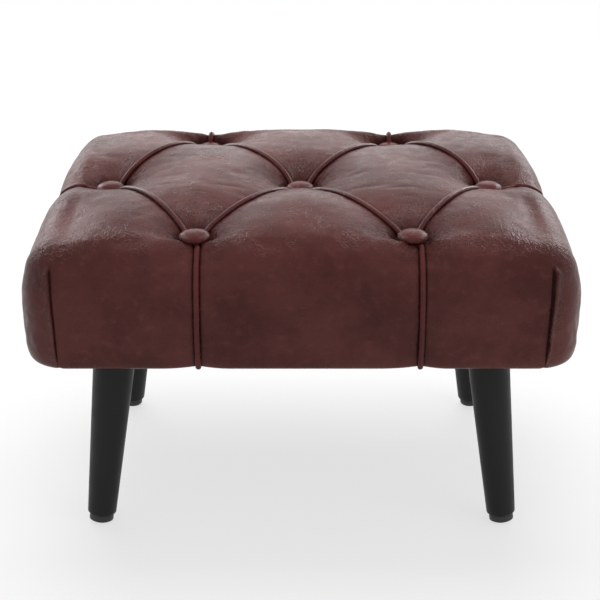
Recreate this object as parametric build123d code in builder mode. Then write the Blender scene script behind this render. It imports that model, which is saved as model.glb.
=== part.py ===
"""Deep-buttoned footstool on four splayed legs.

Millimetres. +Z is up, the origin is on the floor under the middle of the cushion, the front
faces -Y. Every piece is its own labelled solid, or a group of like solids, in its own STEP file.
"""

from build123d import *
from math import atan2, cos, degrees, hypot, pi, radians, sin, sqrt
import os

# Driving dimensions: the cushion, without its piping
overall_width = 400.0
overall_depth = 300.0
crest_height = 257.0
cushion_bottom = 151.0

# Driving dimensions: the tufting
front_button_x = 76.0
side_button_x = 148.0
button_row_y = 112.5
button_seat_height = 235.5
button_diameter = 20.5
button_dome_height = 6.0
button_edge_height = 2.2
seam_rise = 11.0
channel_width = 6.0
dimple_spread = 15.0
dimple_overrun = 2.0

# Driving dimensions: the legs
foot_x = 156.4
foot_y = 101.0
leg_splay_share = 0.116
leg_end_diameter = 22.0
leg_top_diameter = 33.4
leg_end_chamfer = 1.2
leg_blank_extra = 5.0
glide_diameter = 18.5
glide_height = 8.0
glide_dome = 3.0
glide_floor_cut = 0.5
glide_pin_diameter = 3.0
glide_pin_length = 14.0

# Rounding of the cushion
plan_corner_radius = 34.0
shoulder_radius = 28.0
shoulder_inset = 28.0
shoulder_dip = 13.0
crest_edge_drop = 3.0
tuck_under = 9.5
tuck_under_rise = 20.0
knee_inset = 2.5
flank_bow = 0.9
side_pull = 6.0
side_pull_reach = 20.0
front_seam_fall = 17.5
back_channel_depth = 4.0
back_channel_haste = 1.5
widest_share = 0.56
knee_share = 0.12
puff_falloff_share = 1.6
shoulder_turn = 45
section_turns = (0, 15, 30, 45, 58, 70, 80, 90)
flat_sections = 8

# Covering and piping
leather_thickness = 1.2
seam_gap = 0.3
hem_on_rail = 12.0
piping_diameter = 4.2
piping_sink = 0.6
piping_clearance = 0.15
piping_end_gap = 0.4
hem_poke = 1.5
front_start_height = 236.2
front_shoulder_run = 23.5
front_shoulder_height = 231.4
front_face_height = 215.0
back_start_height = 240.0
back_shoulder_run = 19.5
back_shoulder_height = 250.5
back_face_height = 243.0
side_shoulder_run = 6.0
side_shoulder_climb = 4.0
tuck_start = 32.0
hem_knee_inset = 0.9
hem_knee_rise = 10.0
hem_inset = 6.5
front_bend_radii = (30.0, 20.0)
back_bend_radii = (9.0, 12.0)
side_bend_radii = (12.0, 24.0)
face_bend_radius = 40.0
hem_bend_radius = 12.0

# Frame, deck, blocks and foam
foam_clearance = 0.3
frame_clearance = 0.3
frame_width = 358.0
frame_depth = 258.0
rail_thickness = 18.0
rail_height = 45.0
deck_thickness = 9.0
block_size = 62.0
block_height = 34.0

# Fastenings
frame_screw_diameter = 4.0
frame_screw_length = 45.0
frame_screw_inset = 12.0
deck_screw_diameter = 3.5
deck_screw_length = 24.0
deck_screw_corner_inset = 40.0
deck_screw_side_inset = 60.0
deck_screws_long = 4
deck_screws_short = 3
screw_head_share = 2.0
screw_head_height_share = 0.6
thread_clearance = 0.1
bolt_diameter = 8.0
bolt_in_leg = 32.0
bolt_in_block = 24.0
insert_diameter = 12.0
insert_length = 20.0
insert_setback = 1.5
staple_crown = 10.0
staple_wire = 0.8
staple_leg = 7.0
staple_inset = 5.0
staple_corner_inset = 24.0
staples_long = 9
staples_short = 6

# Twines, shanks, washers and dust cover
twine_diameter = 1.8
twine_clearance = 0.2
twine_hole_diameter = 4.0
twine_top_gap = 0.6
twine_knot_diameter = 6.0
twine_knot_height = 2.5
shank_diameter = 6.0
shank_length = 5.0
washer_diameter = 16.0
washer_thickness = 2.5
washer_bore_diameter = 4.6
washer_rounding = 0.8
washer_wall_gap = 1.0
dust_cover_thickness = 0.5
dust_cover_margin = 5.0
dust_cover_corner_radius = 12.0

# Sizes that follow
cut_overrun = 5.0
half_width = overall_width / 2
half_depth = overall_depth / 2
piping_radius = piping_diameter / 2
groove_radius = piping_radius + piping_clearance
button_radius = button_diameter / 2
rim_radius = button_radius + piping_end_gap
piping_low = button_seat_height + piping_radius
side_crest_height = piping_low + side_shoulder_climb
seam_run = hypot(side_button_x - front_button_x, button_row_y)
puff_rise = crest_height - button_seat_height
rail_bottom = cushion_bottom + leather_thickness + frame_clearance
deck_bottom = rail_bottom + rail_height
deck_top = deck_bottom + deck_thickness
rail_middle = rail_bottom + rail_height / 2
hem_half_width = frame_width / 2 - hem_on_rail
hem_half_depth = frame_depth / 2 - hem_on_rail
dust_cover_bottom = cushion_bottom - dust_cover_thickness
dust_cover_half_width = frame_width / 2 - dust_cover_margin
dust_cover_half_depth = frame_depth / 2 - dust_cover_margin
form_height = crest_height - cushion_bottom + 2 * cut_overrun
form_middle = (crest_height + cushion_bottom) / 2

button_places = {
    "front_left": (-front_button_x, -button_row_y),
    "front_right": (front_button_x, -button_row_y),
    "middle_left": (-side_button_x, 0),
    "centre": (0, 0),
    "middle_right": (side_button_x, 0),
    "back_left": (-front_button_x, button_row_y),
    "back_right": (front_button_x, button_row_y),
}
diagonal_seams = [
    (f"{row}_{side}", other)
    for row in ("front", "back")
    for side in ("left", "right")
    for other in ("centre", f"middle_{side}")
]
corners = {
    "front_left": (-1, -1),
    "front_right": (1, -1),
    "back_left": (-1, 1),
    "back_right": (1, 1),
}

os.makedirs("parts", exist_ok=True)


def save(part, name):
    """Labels a finished piece and writes it under its node's name."""
    part.label = name
    export_step(part, f"parts/{name}.step")


def on_side(part, side):
    """A left piece as it is for side -1, and its mirrored copy on the right for side 1."""
    if side > 0:
        part = mirror(part, about=Plane.YZ)
    return Part() + part


# Cushion form: one section across the stool for each place from front to back


def quarter_share(reach, radius):
    """How much of a rounding is lost at a place that lies `reach` into it."""
    inside = min(max(reach / radius, 0), 1)
    return 1 - sqrt(1 - inside * inside)


def seam_lift(run_share):
    """Height of a diagonal seam over its buttons, as a circular arc along its run."""
    run = seam_run / 2 - rim_radius
    radius = (run * run + seam_rise * seam_rise) / (2 * seam_rise)
    off_middle = min(abs(run_share - 1 / 2) * seam_run, run)
    return sqrt(radius * radius - off_middle * off_middle) - (radius - seam_rise)


def mirrored(point):
    """The same place on the left half of a section."""
    return (-point[0], point[1])


def form_section(y, skin):
    """Places of the section at y, right half, for a form that lies `skin` inside the cover."""
    depth_reach = abs(y) - half_depth + skin
    near_middle = 2 ** (-((y / side_pull_reach) ** 2))
    corner_loss = quarter_share(depth_reach + plan_corner_radius, plan_corner_radius)
    half = half_width - skin - side_pull * near_middle - plan_corner_radius * corner_loss
    top = crest_height - skin
    top -= shoulder_radius * quarter_share(depth_reach + shoulder_radius, shoulder_radius)
    bottom = cushion_bottom + skin + tuck_under_rise * quarter_share(depth_reach + tuck_under, tuck_under)
    height = top - bottom

    # Seams: a pair bounds each diamond and closes to one straight channel beyond the button rows
    row_share = min(abs(y) / button_row_y, 1)
    half_channel = channel_width / 2
    inner_x = hypot((front_button_x - half_channel) * row_share, half_channel)
    inner_x = min(inner_x, front_button_x - half_channel)
    outer_x = side_button_x - (side_button_x - front_button_x - half_channel) * row_share
    beyond = min(max(abs(y) - button_row_y, 0) / (half_depth - button_row_y), 1)
    if y < 0:
        lost = crest_height - skin - top
        rise = puff_rise + front_seam_fall * beyond**2 - lost
        lift = seam_lift(row_share)
    else:
        eased = (1 - cos(pi * min(beyond * back_channel_haste, 1))) / 2
        rise = puff_rise * (1 - eased) + back_channel_depth * eased
        lift = seam_lift(row_share) * (1 - eased)
    seam_z = top - rise + lift

    # Puffs: each rises with its width
    full_width = 2 * (front_button_x - half_channel)

    def crest(left, right):
        width_share = min((right[0] - left[0]) / full_width, 1)
        return ((left[0] + right[0]) / 2, (left[1] + right[1]) / 2 + rise * width_share**puff_falloff_share)

    inner = (inner_x, seam_z)
    outer = (outer_x, seam_z)
    shoulder = (half - shoulder_inset, top - crest_edge_drop - shoulder_dip * near_middle)
    widest = (half, bottom + widest_share * height)
    knee = (half - knee_inset, bottom + knee_share * height)
    tuck = (half - tuck_under, bottom)
    turn = radians(shoulder_turn)
    return {
        "middle_crest": crest(mirrored(inner), inner),
        "inner": inner,
        "diamond_crest": crest(inner, outer),
        "outer": outer,
        "side_crest": crest(outer, shoulder),
        "shoulder": shoulder,
        "corner": (
            half - shoulder_inset * (1 - sin(turn)),
            widest[1] + (shoulder[1] - widest[1]) * cos(turn),
        ),
        "widest": widest,
        "flank": ((widest[0] + knee[0]) / 2 + flank_bow, (widest[1] + knee[1]) / 2),
        "knee": knee,
        "tuck_bend": (knee[0] - (knee[0] - tuck[0]) / 3, bottom + (knee[1] - bottom) / 3),
        "tuck": tuck,
    }


def section_places(skin):
    """Places from front to back, close together where the form turns over its edges."""
    end = half_depth - skin
    rounded = [end - plan_corner_radius * (1 - sin(radians(turn))) for turn in section_turns]
    flat = [rounded[0] * step / flat_sections for step in range(1, flat_sections)]
    ahead = flat + rounded
    return [-place for place in reversed(ahead)] + [0] + ahead


def cushion_form(skin):
    """The tufted body, its surface `skin` inside the outside of the cover."""
    right_arcs = [
        ("tuck", "tuck_bend", "knee"),
        ("knee", "flank", "widest"),
        ("widest", "corner", "shoulder"),
        ("shoulder", "side_crest", "outer"),
        ("outer", "diamond_crest", "inner"),
    ]
    with BuildPart() as form:
        for y in section_places(skin):
            at = form_section(y, skin)
            with BuildSketch(Plane.XZ.offset(-y)):
                with BuildLine():
                    Line(mirrored(at["tuck"]), at["tuck"])
                    for arc in right_arcs:
                        ThreePointArc(*[at[key] for key in arc])
                    ThreePointArc(at["inner"], at["middle_crest"], mirrored(at["inner"]))
                    for arc in reversed(right_arcs):
                        ThreePointArc(*[mirrored(at[key]) for key in reversed(arc)])
                make_face()
        loft()

        # Dimples: the flat seat of each button and the steep foot of the puffs round it
        seat = button_seat_height - skin
        rim = rim_radius + skin
        top = crest_height + dimple_overrun
        for place in button_places.values():
            with BuildSketch(Plane(origin=(*place, 0), x_dir=(1, 0, 0), z_dir=(0, -1, 0))):
                with BuildLine():
                    Polyline((rim, seat), (0, seat), (0, top), (rim + dimple_spread, top))
                    bend = (rim + dimple_spread / 3, (seat + top) / 2)
                    ThreePointArc((rim + dimple_spread, top), bend, (rim, seat))
                make_face()
            revolve(axis=Axis((*place, 0), (0, 0, 1)), mode=Mode.SUBTRACT)
    return form.part


# Piping routes: the diagonals arc from button to button, the others run over the edge to the hem


def diagonal_route(start_button, end_button):
    """Centre line of the piping between two buttons, rim to rim."""
    start, end = [Vector(*button_places[name], piping_low) for name in (start_button, end_button)]
    step = (end - start).normalized() * rim_radius
    with BuildLine() as route:
        ThreePointArc(start + step, (start + end) * (1 / 2) + Vector(0, 0, seam_rise), end - step)
    return route


def edge_route(places, radii, turned, offset):
    """Centre line from a button over the edge, given as (outward, height) places."""
    points = [Vector(turned[0] * out + offset[0], turned[1] * out + offset[1], z) for out, z in places]
    with BuildLine() as route:
        FilletPolyline(*points, radius=radii)
    return route


def hem_places(face):
    """Where the piping leaves the face, tucks in and ends just below the hem."""
    return [
        (face, cushion_bottom + tuck_start),
        (face - hem_knee_inset, cushion_bottom + hem_knee_rise),
        (face - hem_inset, cushion_bottom - hem_poke),
    ]


def face_route(side, way):
    """Centre line from a front or back button down its face."""
    face = half_depth - piping_sink
    start = button_row_y + rim_radius
    if way < 0:
        shoulder = (button_row_y + front_shoulder_run, front_shoulder_height)
        places = [(start, front_start_height), shoulder, (face, front_face_height)]
        bends = front_bend_radii
    else:
        shoulder = (button_row_y + back_shoulder_run, back_shoulder_height)
        places = [(start, back_start_height), shoulder, (face, back_face_height)]
        bends = back_bend_radii
    radii = [*bends, face_bend_radius, hem_bend_radius]
    return edge_route(places + hem_places(face), radii, (0, way), (side * front_button_x, 0))


def flank_route(side):
    """Centre line from an outer button over the side and down it."""
    face = half_width - side_pull - piping_sink
    start = side_button_x + rim_radius
    shoulder = (start + side_shoulder_run, side_crest_height)
    places = [(start, piping_low), shoulder, (face, side_crest_height)]
    radii = [*side_bend_radii, face_bend_radius, hem_bend_radius]
    return edge_route(places + hem_places(face), radii, (side, 0), (0, 0))


def tube(route, radius):
    """A round strip along a route."""
    with BuildPart() as strip:
        with BuildSketch(Plane(origin=route.line @ 0, z_dir=route.line % 0)):
            Circle(radius)
        sweep(path=route.line)
    return strip.part


piping_routes = {
    f"piping_{start}_to_{end}": diagonal_route(start, end) for start, end in diagonal_seams
}
for row, way in (("front", -1), ("back", 1)):
    for side_name, side in (("left", -1), ("right", 1)):
        piping_routes[f"piping_{row}_{side_name}_face"] = face_route(side, way)
for side_name, side in (("left", -1), ("right", 1)):
    piping_routes[f"piping_{side_name}_side"] = flank_route(side)

for name, route in piping_routes.items():
    save(tube(route, piping_radius), name)

with BuildPart() as piping_grooves:
    for route in piping_routes.values():
        add(tube(route, groove_radius))


# Fastenings: each maker gives the real piece, or with a clearance the hole for it


def screws(planes, diameter, length, clearance=0):
    """Countersunk screws, each head flush with its plane and pointing against its normal."""
    head = diameter * screw_head_share / 2
    head_height = diameter * screw_head_height_share
    with BuildPart(*planes) as group:
        with Locations((0, 0, -head_height / 2)):
            Cone(diameter / 2 + clearance, head + clearance, head_height)
        with Locations((0, 0, -(length + clearance + head_height) / 2)):
            Cylinder(diameter / 2 + clearance, length + clearance - head_height)
    return group.part


def evenly_spaced(half_run, count):
    """Places from -half_run to half_run at even steps."""
    return [half_run * (2 * step / (count - 1) - 1) for step in range(count)]


frame_screw_planes = [
    Plane(
        origin=(
            side * (frame_width - rail_thickness) / 2,
            way * frame_depth / 2,
            rail_middle + up * (rail_height / 2 - frame_screw_inset),
        ),
        z_dir=(0, way, 0),
    )
    for side, way in corners.values()
    for up in (-1, 1)
]
deck_half_run = frame_width / 2 - deck_screw_corner_inset / 2
deck_half_side_run = frame_depth / 2 - deck_screw_side_inset
deck_screw_places = [
    (x, way * (frame_depth - rail_thickness) / 2)
    for way in (-1, 1)
    for x in evenly_spaced(deck_half_run, deck_screws_long)
] + [
    (side * (frame_width - rail_thickness) / 2, y)
    for side in (-1, 1)
    for y in evenly_spaced(deck_half_side_run, deck_screws_short)
]
deck_screw_planes = [Plane(origin=(*place, deck_top)) for place in deck_screw_places]
frame_screws = screws(frame_screw_planes, frame_screw_diameter, frame_screw_length)
frame_screw_holes = screws(frame_screw_planes, frame_screw_diameter, frame_screw_length, thread_clearance)
deck_screws = screws(deck_screw_planes, deck_screw_diameter, deck_screw_length)
deck_screw_holes = screws(deck_screw_planes, deck_screw_diameter, deck_screw_length, thread_clearance)
save(frame_screws, "frame_screws")
save(deck_screws, "deck_screws")


def staple_planes():
    """Under the dust cover, along its four edges; each staple's crown lies along local X."""
    long_half = dust_cover_half_width - staple_corner_inset
    short_half = dust_cover_half_depth - staple_corner_inset
    planes = []
    for way in (-1, 1):
        for x in evenly_spaced(long_half, staples_long):
            y = way * (dust_cover_half_depth - staple_inset)
            planes.append(Plane(origin=(x, y, dust_cover_bottom), x_dir=(1, 0, 0)))
        for y in evenly_spaced(short_half, staples_short):
            x = way * (dust_cover_half_width - staple_inset)
            planes.append(Plane(origin=(x, y, dust_cover_bottom), x_dir=(0, 1, 0)))
    return planes


def staple_group(clearance=0):
    """Wire staples, crown under the dust cover and two legs up into the rails."""
    wire = staple_wire + 2 * clearance
    leg = staple_leg + clearance
    leg_x = (staple_crown - staple_wire) / 2
    with BuildPart(*staple_planes()) as group:
        with Locations((-leg_x, 0, leg / 2), (leg_x, 0, leg / 2)):
            Box(wire, wire, leg)
        with Locations((0, 0, -staple_wire / 2)):
            Box(staple_crown, staple_wire, staple_wire)
    return group.part


save(staple_group(), "staples")
staple_holes = staple_group(thread_clearance)

# Legs: each on its own splayed axis, cut level where it meets the dust cover


def leg_plane(side, way, height=0):
    """Plane square to a leg's axis where the axis is at a height over the floor."""
    splay = leg_splay_share * height
    return Plane(
        origin=(side * (foot_x - splay), way * (foot_y - splay), height),
        z_dir=(-side * leg_splay_share, -way * leg_splay_share, 1),
    )


axis_stretch_share = sqrt(1 + 2 * leg_splay_share**2)
leg_blank_length = (dust_cover_bottom + glide_floor_cut) * axis_stretch_share + leg_blank_extra
glide_radius = glide_diameter / 2
glide_dome_radius = (glide_radius**2 + glide_dome**2) / (2 * glide_dome)

bolt_planes = [leg_plane(side, way, dust_cover_bottom) for side, way in corners.values()]
with BuildPart(*bolt_planes) as hanger_bolts:
    with Locations((0, 0, (bolt_in_block - bolt_in_leg) / 2)):
        Cylinder(bolt_diameter / 2, bolt_in_block + bolt_in_leg)
save(hanger_bolts.part, "hanger_bolts")

bore_length = bolt_in_block + bolt_in_leg + 2 * thread_clearance
with BuildPart(*bolt_planes) as bolt_bores:
    with Locations((0, 0, (bolt_in_block - bolt_in_leg) / 2)):
        Cylinder(bolt_diameter / 2 + thread_clearance, bore_length)

for corner, (side, way) in corners.items():
    axis_plane = leg_plane(side, way, -glide_floor_cut)

    with BuildPart() as leg:
        with Locations(axis_plane.offset((glide_height + leg_blank_length) / 2)):
            Cone(leg_end_diameter / 2, leg_top_diameter / 2, leg_blank_length - glide_height)
        chamfer(leg.edges().sort_by(Axis.Z)[0], leg_end_chamfer)
        split(bisect_by=Plane.XY.offset(dust_cover_bottom), keep=Keep.BOTTOM)
        with Locations(axis_plane.offset(glide_height + glide_pin_length / 2)):
            Cylinder(glide_pin_diameter / 2 + thread_clearance, glide_pin_length, mode=Mode.SUBTRACT)
        add(bolt_bores.part, mode=Mode.SUBTRACT)
    save(leg.part, f"leg_{corner}")

    with BuildPart(axis_plane) as glide:
        with Locations((0, 0, glide_height / 2)):
            Cylinder(glide_radius, glide_height)
        with Locations((0, 0, glide_dome_radius)):
            Sphere(glide_dome_radius, mode=Mode.INTERSECT)
        with Locations((0, 0, glide_height + (glide_pin_length - thread_clearance) / 2)):
            Cylinder(glide_pin_diameter / 2, glide_pin_length - thread_clearance)
        split(bisect_by=Plane.XY, keep=Keep.TOP)
    save(glide.part, f"glide_{corner}")

insert_planes = [leg_plane(side, way, cushion_bottom) for side, way in corners.values()]
with BuildPart(*insert_planes) as leg_inserts:
    with Locations((0, 0, insert_setback + insert_length / 2)):
        Cylinder(insert_diameter / 2, insert_length)
        Cylinder(bolt_diameter / 2 + thread_clearance, insert_length, mode=Mode.SUBTRACT)
save(leg_inserts.part, "leg_inserts")

with BuildPart(*insert_planes) as insert_bores:
    with Locations((0, 0, (insert_setback + insert_length - cut_overrun) / 2)):
        Cylinder(insert_diameter / 2 + thread_clearance, insert_setback + insert_length + cut_overrun)

# Frame: four rails, glued corner blocks, and the deck that the twines pull against

for name, way in (("front_rail", -1), ("back_rail", 1)):
    with BuildPart() as rail:
        with Locations((0, way * (frame_depth - rail_thickness) / 2, rail_middle)):
            Box(frame_width, rail_thickness, rail_height)
        add([frame_screw_holes, deck_screw_holes, staple_holes], mode=Mode.SUBTRACT)
    save(rail.part, name)

for name, side in (("left_rail", -1), ("right_rail", 1)):
    with BuildPart() as rail:
        with Locations((side * (frame_width - rail_thickness) / 2, 0, rail_middle)):
            Box(rail_thickness, frame_depth - 2 * rail_thickness, rail_height)
        add([frame_screw_holes, deck_screw_holes, staple_holes], mode=Mode.SUBTRACT)
    save(rail.part, name)

for corner, (side, way) in corners.items():
    block_x = side * (frame_width / 2 - rail_thickness - block_size / 2)
    block_y = way * (frame_depth / 2 - rail_thickness - block_size / 2)
    with BuildPart() as block:
        with Locations((block_x, block_y, cushion_bottom + block_height / 2)):
            Box(block_size, block_size, block_height)
        add([insert_bores.part, bolt_bores.part], mode=Mode.SUBTRACT)
    save(block.part, f"corner_block_{corner}")

# Twines: each runs from its button's shank to a hole in the deck that is clear of the rails


def twine_anchor(place):
    """Where a button's twine comes out under the deck."""
    room_x = frame_width / 2 - rail_thickness - washer_diameter / 2 - washer_wall_gap
    room_y = frame_depth / 2 - rail_thickness - washer_diameter / 2 - washer_wall_gap
    x = min(max(place[0], -room_x), room_x)
    y = min(max(place[1], -room_y), room_y)
    return Vector(x, y, deck_bottom)


def twine_plane(place):
    """Plane at a button's seat, its normal along the twine and pointing up."""
    seat = Vector(*place, button_seat_height)
    return Plane(origin=seat, z_dir=seat - twine_anchor(place))


def twine_foot(place):
    """Where a button's twine comes out under its washer."""
    drop = twine_anchor(place) - Vector(*place, button_seat_height)
    return twine_anchor(place) - drop * (washer_thickness / drop.Z)


def twine_length(place):
    """From the button's seat to the underside of the washer, along the twine."""
    return (twine_foot(place) - Vector(*place, button_seat_height)).length


seat_planes = [twine_plane(place) for place in button_places.values()]
longest_twine = max(twine_length(place) for place in button_places.values())
with BuildPart(*seat_planes) as twine_bores:
    with Locations((0, 0, (cut_overrun - longest_twine) / 2)):
        Cylinder(twine_hole_diameter / 2, longest_twine + cut_overrun)
    with Locations((0, 0, (cut_overrun - shank_length) / 2)):
        Cylinder(shank_diameter / 2 + twine_clearance, shank_length + twine_clearance + cut_overrun)

with BuildPart(*seat_planes) as shanks:
    with Locations((0, 0, (cut_overrun - shank_length) / 2)):
        Cylinder(shank_diameter / 2, shank_length + cut_overrun)
        bore = twine_diameter / 2 + twine_clearance
        Cylinder(bore, shank_length + cut_overrun, mode=Mode.SUBTRACT)
    split(bisect_by=Plane.XY.offset(button_seat_height), keep=Keep.BOTTOM)
save(shanks.part, "button_shanks")

with BuildPart() as twines:
    for place in button_places.values():
        with BuildSketch(twine_plane(place).offset(-twine_top_gap)):
            Circle(twine_diameter / 2)
        extrude(amount=twine_top_gap - twine_length(place))
        with Locations(twine_foot(place) - Vector(0, 0, twine_knot_height / 2)):
            Cylinder(twine_knot_diameter / 2, twine_knot_height)
save(twines.part, "tufting_twines")

washer_spots = [
    twine_anchor(place) - Vector(0, 0, washer_thickness / 2) for place in button_places.values()
]
with BuildPart() as washers:
    with Locations(*washer_spots):
        Cylinder(washer_diameter / 2, washer_thickness)
        Cylinder(washer_bore_diameter / 2, washer_thickness, mode=Mode.SUBTRACT)
    chamfer(washers.edges().group_by(Axis.Z)[0].filter_by(GeomType.CIRCLE), washer_rounding)
save(washers.part, "twine_washers")

with BuildPart() as deck:
    with Locations((0, 0, deck_bottom + deck_thickness / 2)):
        Box(frame_width, frame_depth, deck_thickness)
    add([twine_bores.part, deck_screw_holes], mode=Mode.SUBTRACT)
save(deck.part, "seat_deck")

# Foam: the tufted pad on the deck and four strips of padding round the rails

foam_form = cushion_form(leather_thickness + foam_clearance)
with BuildPart() as foam_pad:
    add(foam_form)
    split(bisect_by=Plane.XY.offset(deck_top), keep=Keep.TOP)
    add([twine_bores.part, piping_grooves.part], mode=Mode.SUBTRACT)
save(foam_pad.part, "foam_pad")

with BuildPart() as padding:
    add(foam_form)
    split(bisect_by=Plane.XY.offset(deck_top), keep=Keep.BOTTOM)
    with Locations((0, 0, form_middle)):
        Box(frame_width, frame_depth, form_height, mode=Mode.SUBTRACT)
    add(piping_grooves.part, mode=Mode.SUBTRACT)

beyond_depth = half_depth - frame_depth / 2 + cut_overrun
beyond_width = half_width - frame_width / 2 + cut_overrun
for name, way in (("front", -1), ("back", 1)):
    with BuildPart() as end_padding:
        add(padding.part)
        with Locations((0, way * (frame_depth + beyond_depth) / 2, form_middle)):
            Box(overall_width + 2 * cut_overrun, beyond_depth, form_height, mode=Mode.INTERSECT)
    save(Part() + end_padding.part, f"side_padding_{name}")
with BuildPart() as left_padding:
    add(padding.part)
    with Locations((-(frame_width + beyond_width) / 2, 0, form_middle)):
        Box(beyond_width, frame_depth, form_height, mode=Mode.INTERSECT)
save(on_side(left_padding.part, -1), "side_padding_left")
save(on_side(left_padding.part, 1), "side_padding_right")

# Cover: a thin shell over the foam, turned under the rails, and parted along the seams

with BuildPart() as seam_cuts:
    for start, end in diagonal_seams:
        a, b = [Vector(*button_places[name], form_middle) for name in (start, end)]
        heading = degrees(atan2(b.Y - a.Y, b.X - a.X))
        with Locations(Location((a + b) * (1 / 2), (0, 0, heading))):
            Box(seam_run, seam_gap, form_height)
    for side in (-1, 1):
        for way in (-1, 1):
            run = half_depth - button_row_y + cut_overrun
            with Locations((side * front_button_x, way * (button_row_y + run / 2), form_middle)):
                Box(seam_gap, run, form_height)
        run = half_width - side_button_x + cut_overrun
        with Locations((side * (side_button_x + run / 2), 0, form_middle)):
            Box(run, seam_gap, form_height)

with BuildPart() as cover:
    add(cushion_form(0))
    add(cushion_form(leather_thickness), mode=Mode.SUBTRACT)
    with Locations((0, 0, cushion_bottom)):
        Box(2 * hem_half_width, 2 * hem_half_depth, 2 * cut_overrun, mode=Mode.SUBTRACT)
    add([piping_grooves.part, seam_cuts.part, twine_bores.part, staple_holes], mode=Mode.SUBTRACT)


def panel_nearest(place):
    """The panel of the cover that lies nearest a place."""
    return cover.part.solids().sort_by_distance(place)[0]


for corner, (side, way) in corners.items():
    corner_panel = panel_nearest((-half_width, way * half_depth, form_middle))
    save(on_side(corner_panel, side), f"cover_corner_{corner}")
for name, side in (("left", -1), ("right", 1)):
    diamond_panel = panel_nearest((-front_button_x, 0, crest_height))
    save(on_side(diamond_panel, side), f"cover_diamond_{name}")
for name, way in (("front", -1), ("back", 1)):
    save(Part() + panel_nearest((0, way * half_depth, form_middle)), f"cover_{name}")

# Buttons: leather-covered domes, each on its flat seat

cap_height = button_dome_height - button_edge_height
cap_radius = (button_radius**2 + cap_height**2) / (2 * cap_height)
half_turn_x = button_radius / 2
cap_middle = button_dome_height - cap_radius + sqrt(cap_radius**2 - half_turn_x**2)

for name, place in button_places.items():
    rim = (button_radius, button_edge_height)
    crown = (0, button_dome_height)
    with BuildPart() as button:
        with BuildSketch(Plane(origin=(*place, button_seat_height), x_dir=(1, 0, 0), z_dir=(0, -1, 0))):
            with BuildLine():
                Polyline(crown, (0, 0), (button_radius, 0), rim)
                ThreePointArc(rim, (half_turn_x, cap_middle), crown)
            make_face()
        revolve(axis=Axis((*place, 0), (0, 0, 1)))
    save(button.part, f"button_{name}")

# Dust cover: a thin sheet under the frame, pierced for the bolts

with BuildPart() as dust_cover:
    with BuildSketch(Plane.XY.offset(dust_cover_bottom)):
        RectangleRounded(2 * dust_cover_half_width, 2 * dust_cover_half_depth, dust_cover_corner_radius)
    extrude(amount=dust_cover_thickness)
    add([bolt_bores.part, staple_holes], mode=Mode.SUBTRACT)
save(dust_cover.part, "dust_cover")
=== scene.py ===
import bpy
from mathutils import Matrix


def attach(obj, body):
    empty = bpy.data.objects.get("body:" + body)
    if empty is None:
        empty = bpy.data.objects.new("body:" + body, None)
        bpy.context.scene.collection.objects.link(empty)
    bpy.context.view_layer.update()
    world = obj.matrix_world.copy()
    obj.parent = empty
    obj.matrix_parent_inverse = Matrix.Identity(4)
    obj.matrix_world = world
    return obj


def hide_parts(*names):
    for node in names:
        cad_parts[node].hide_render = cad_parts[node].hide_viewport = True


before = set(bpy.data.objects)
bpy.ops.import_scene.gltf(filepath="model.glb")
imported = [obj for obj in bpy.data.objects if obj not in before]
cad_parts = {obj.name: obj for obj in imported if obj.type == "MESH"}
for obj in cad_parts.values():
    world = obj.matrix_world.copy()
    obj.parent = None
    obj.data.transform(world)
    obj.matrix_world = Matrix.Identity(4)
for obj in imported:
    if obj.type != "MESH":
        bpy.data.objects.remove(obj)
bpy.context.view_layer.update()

import logging
import math
from dataclasses import dataclass
from enum import Enum
from functools import partial
from typing import Callable, Sequence

import bpy
import numpy as np
from mathutils import Vector, noise
from mathutils.geometry import delaunay_2d_cdt

# A deep-buttoned footstool. Sizes in the classes are millimetres and become metres in new_piece;
# +Z is up, the origin is on the floor under the middle of the cushion, and the front faces -Y.

MM = 0.001
TINY = 1e-9
WHOLE = "root"
LOG = logging.getLogger("footstool")

# What a node that mixes colours and one that fades a value in need besides their inputs.
COLOURS = {"data_type": "RGBA", "output": 2}
SMOOTH = {"interpolation_type": "SMOOTHSTEP"}

Piece = bpy.types.Object
Mesh = bpy.types.Mesh
Material = bpy.types.Material
Tree = bpy.types.NodeTree
Socket = bpy.types.NodeSocket
Adder = Callable[..., Socket]
Array = np.ndarray
Faces = list[list[int]]
Pair = tuple[float, float]
Triple = tuple[float, float, float]


class Slot(Enum):
    """The record's material slots."""

    LEATHER = "cover_leather"
    LEG = "leg_black"
    PLASTIC = "black_plastic"
    TIMBER = "frame_timber"
    PLYWOOD = "deck_plywood"
    FOAM = "seat_foam"
    STEEL = "zinc_steel"
    TWINE = "twine"
    DUST_CLOTH = "dust_cloth"


class Grain(Enum):
    """Which way a board's grain runs."""

    ALONG_WIDTH = (0.04, 1.0, 1.0)
    ALONG_DEPTH = (1.0, 0.04, 1.0)


CORNERS = {
    "front_left": (-1, -1),
    "front_right": (1, -1),
    "back_left": (-1, 1),
    "back_right": (1, 1),
}


def new_piece(name: str, points: Array, faces: Sequence[Sequence[int]]) -> Piece:
    """Makes a smooth-shaded mesh object at the origin.

    Args:
        name: the object's name.
        points: its vertices in millimetres.
        faces: vertex indices of each face, anticlockwise seen from outside.

    Returns:
        The new object, linked to the scene.
    """
    mesh = bpy.data.meshes.new(name)
    mesh.from_pydata((np.asarray(points, float) * MM).tolist(), [], [list(map(int, f)) for f in faces])
    mesh.update()
    mesh.polygons.foreach_set("use_smooth", np.ones(len(mesh.polygons), bool))
    piece = bpy.data.objects.new(name, mesh)
    bpy.context.scene.collection.objects.link(piece)
    return piece


def places_of(mesh: Mesh) -> Array:
    """The vertices of a mesh in millimetres."""
    flat = np.zeros(len(mesh.vertices) * 3, np.float32)
    mesh.vertices.foreach_get("co", flat)
    return flat.reshape(-1, 3).astype(float) / MM


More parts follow.
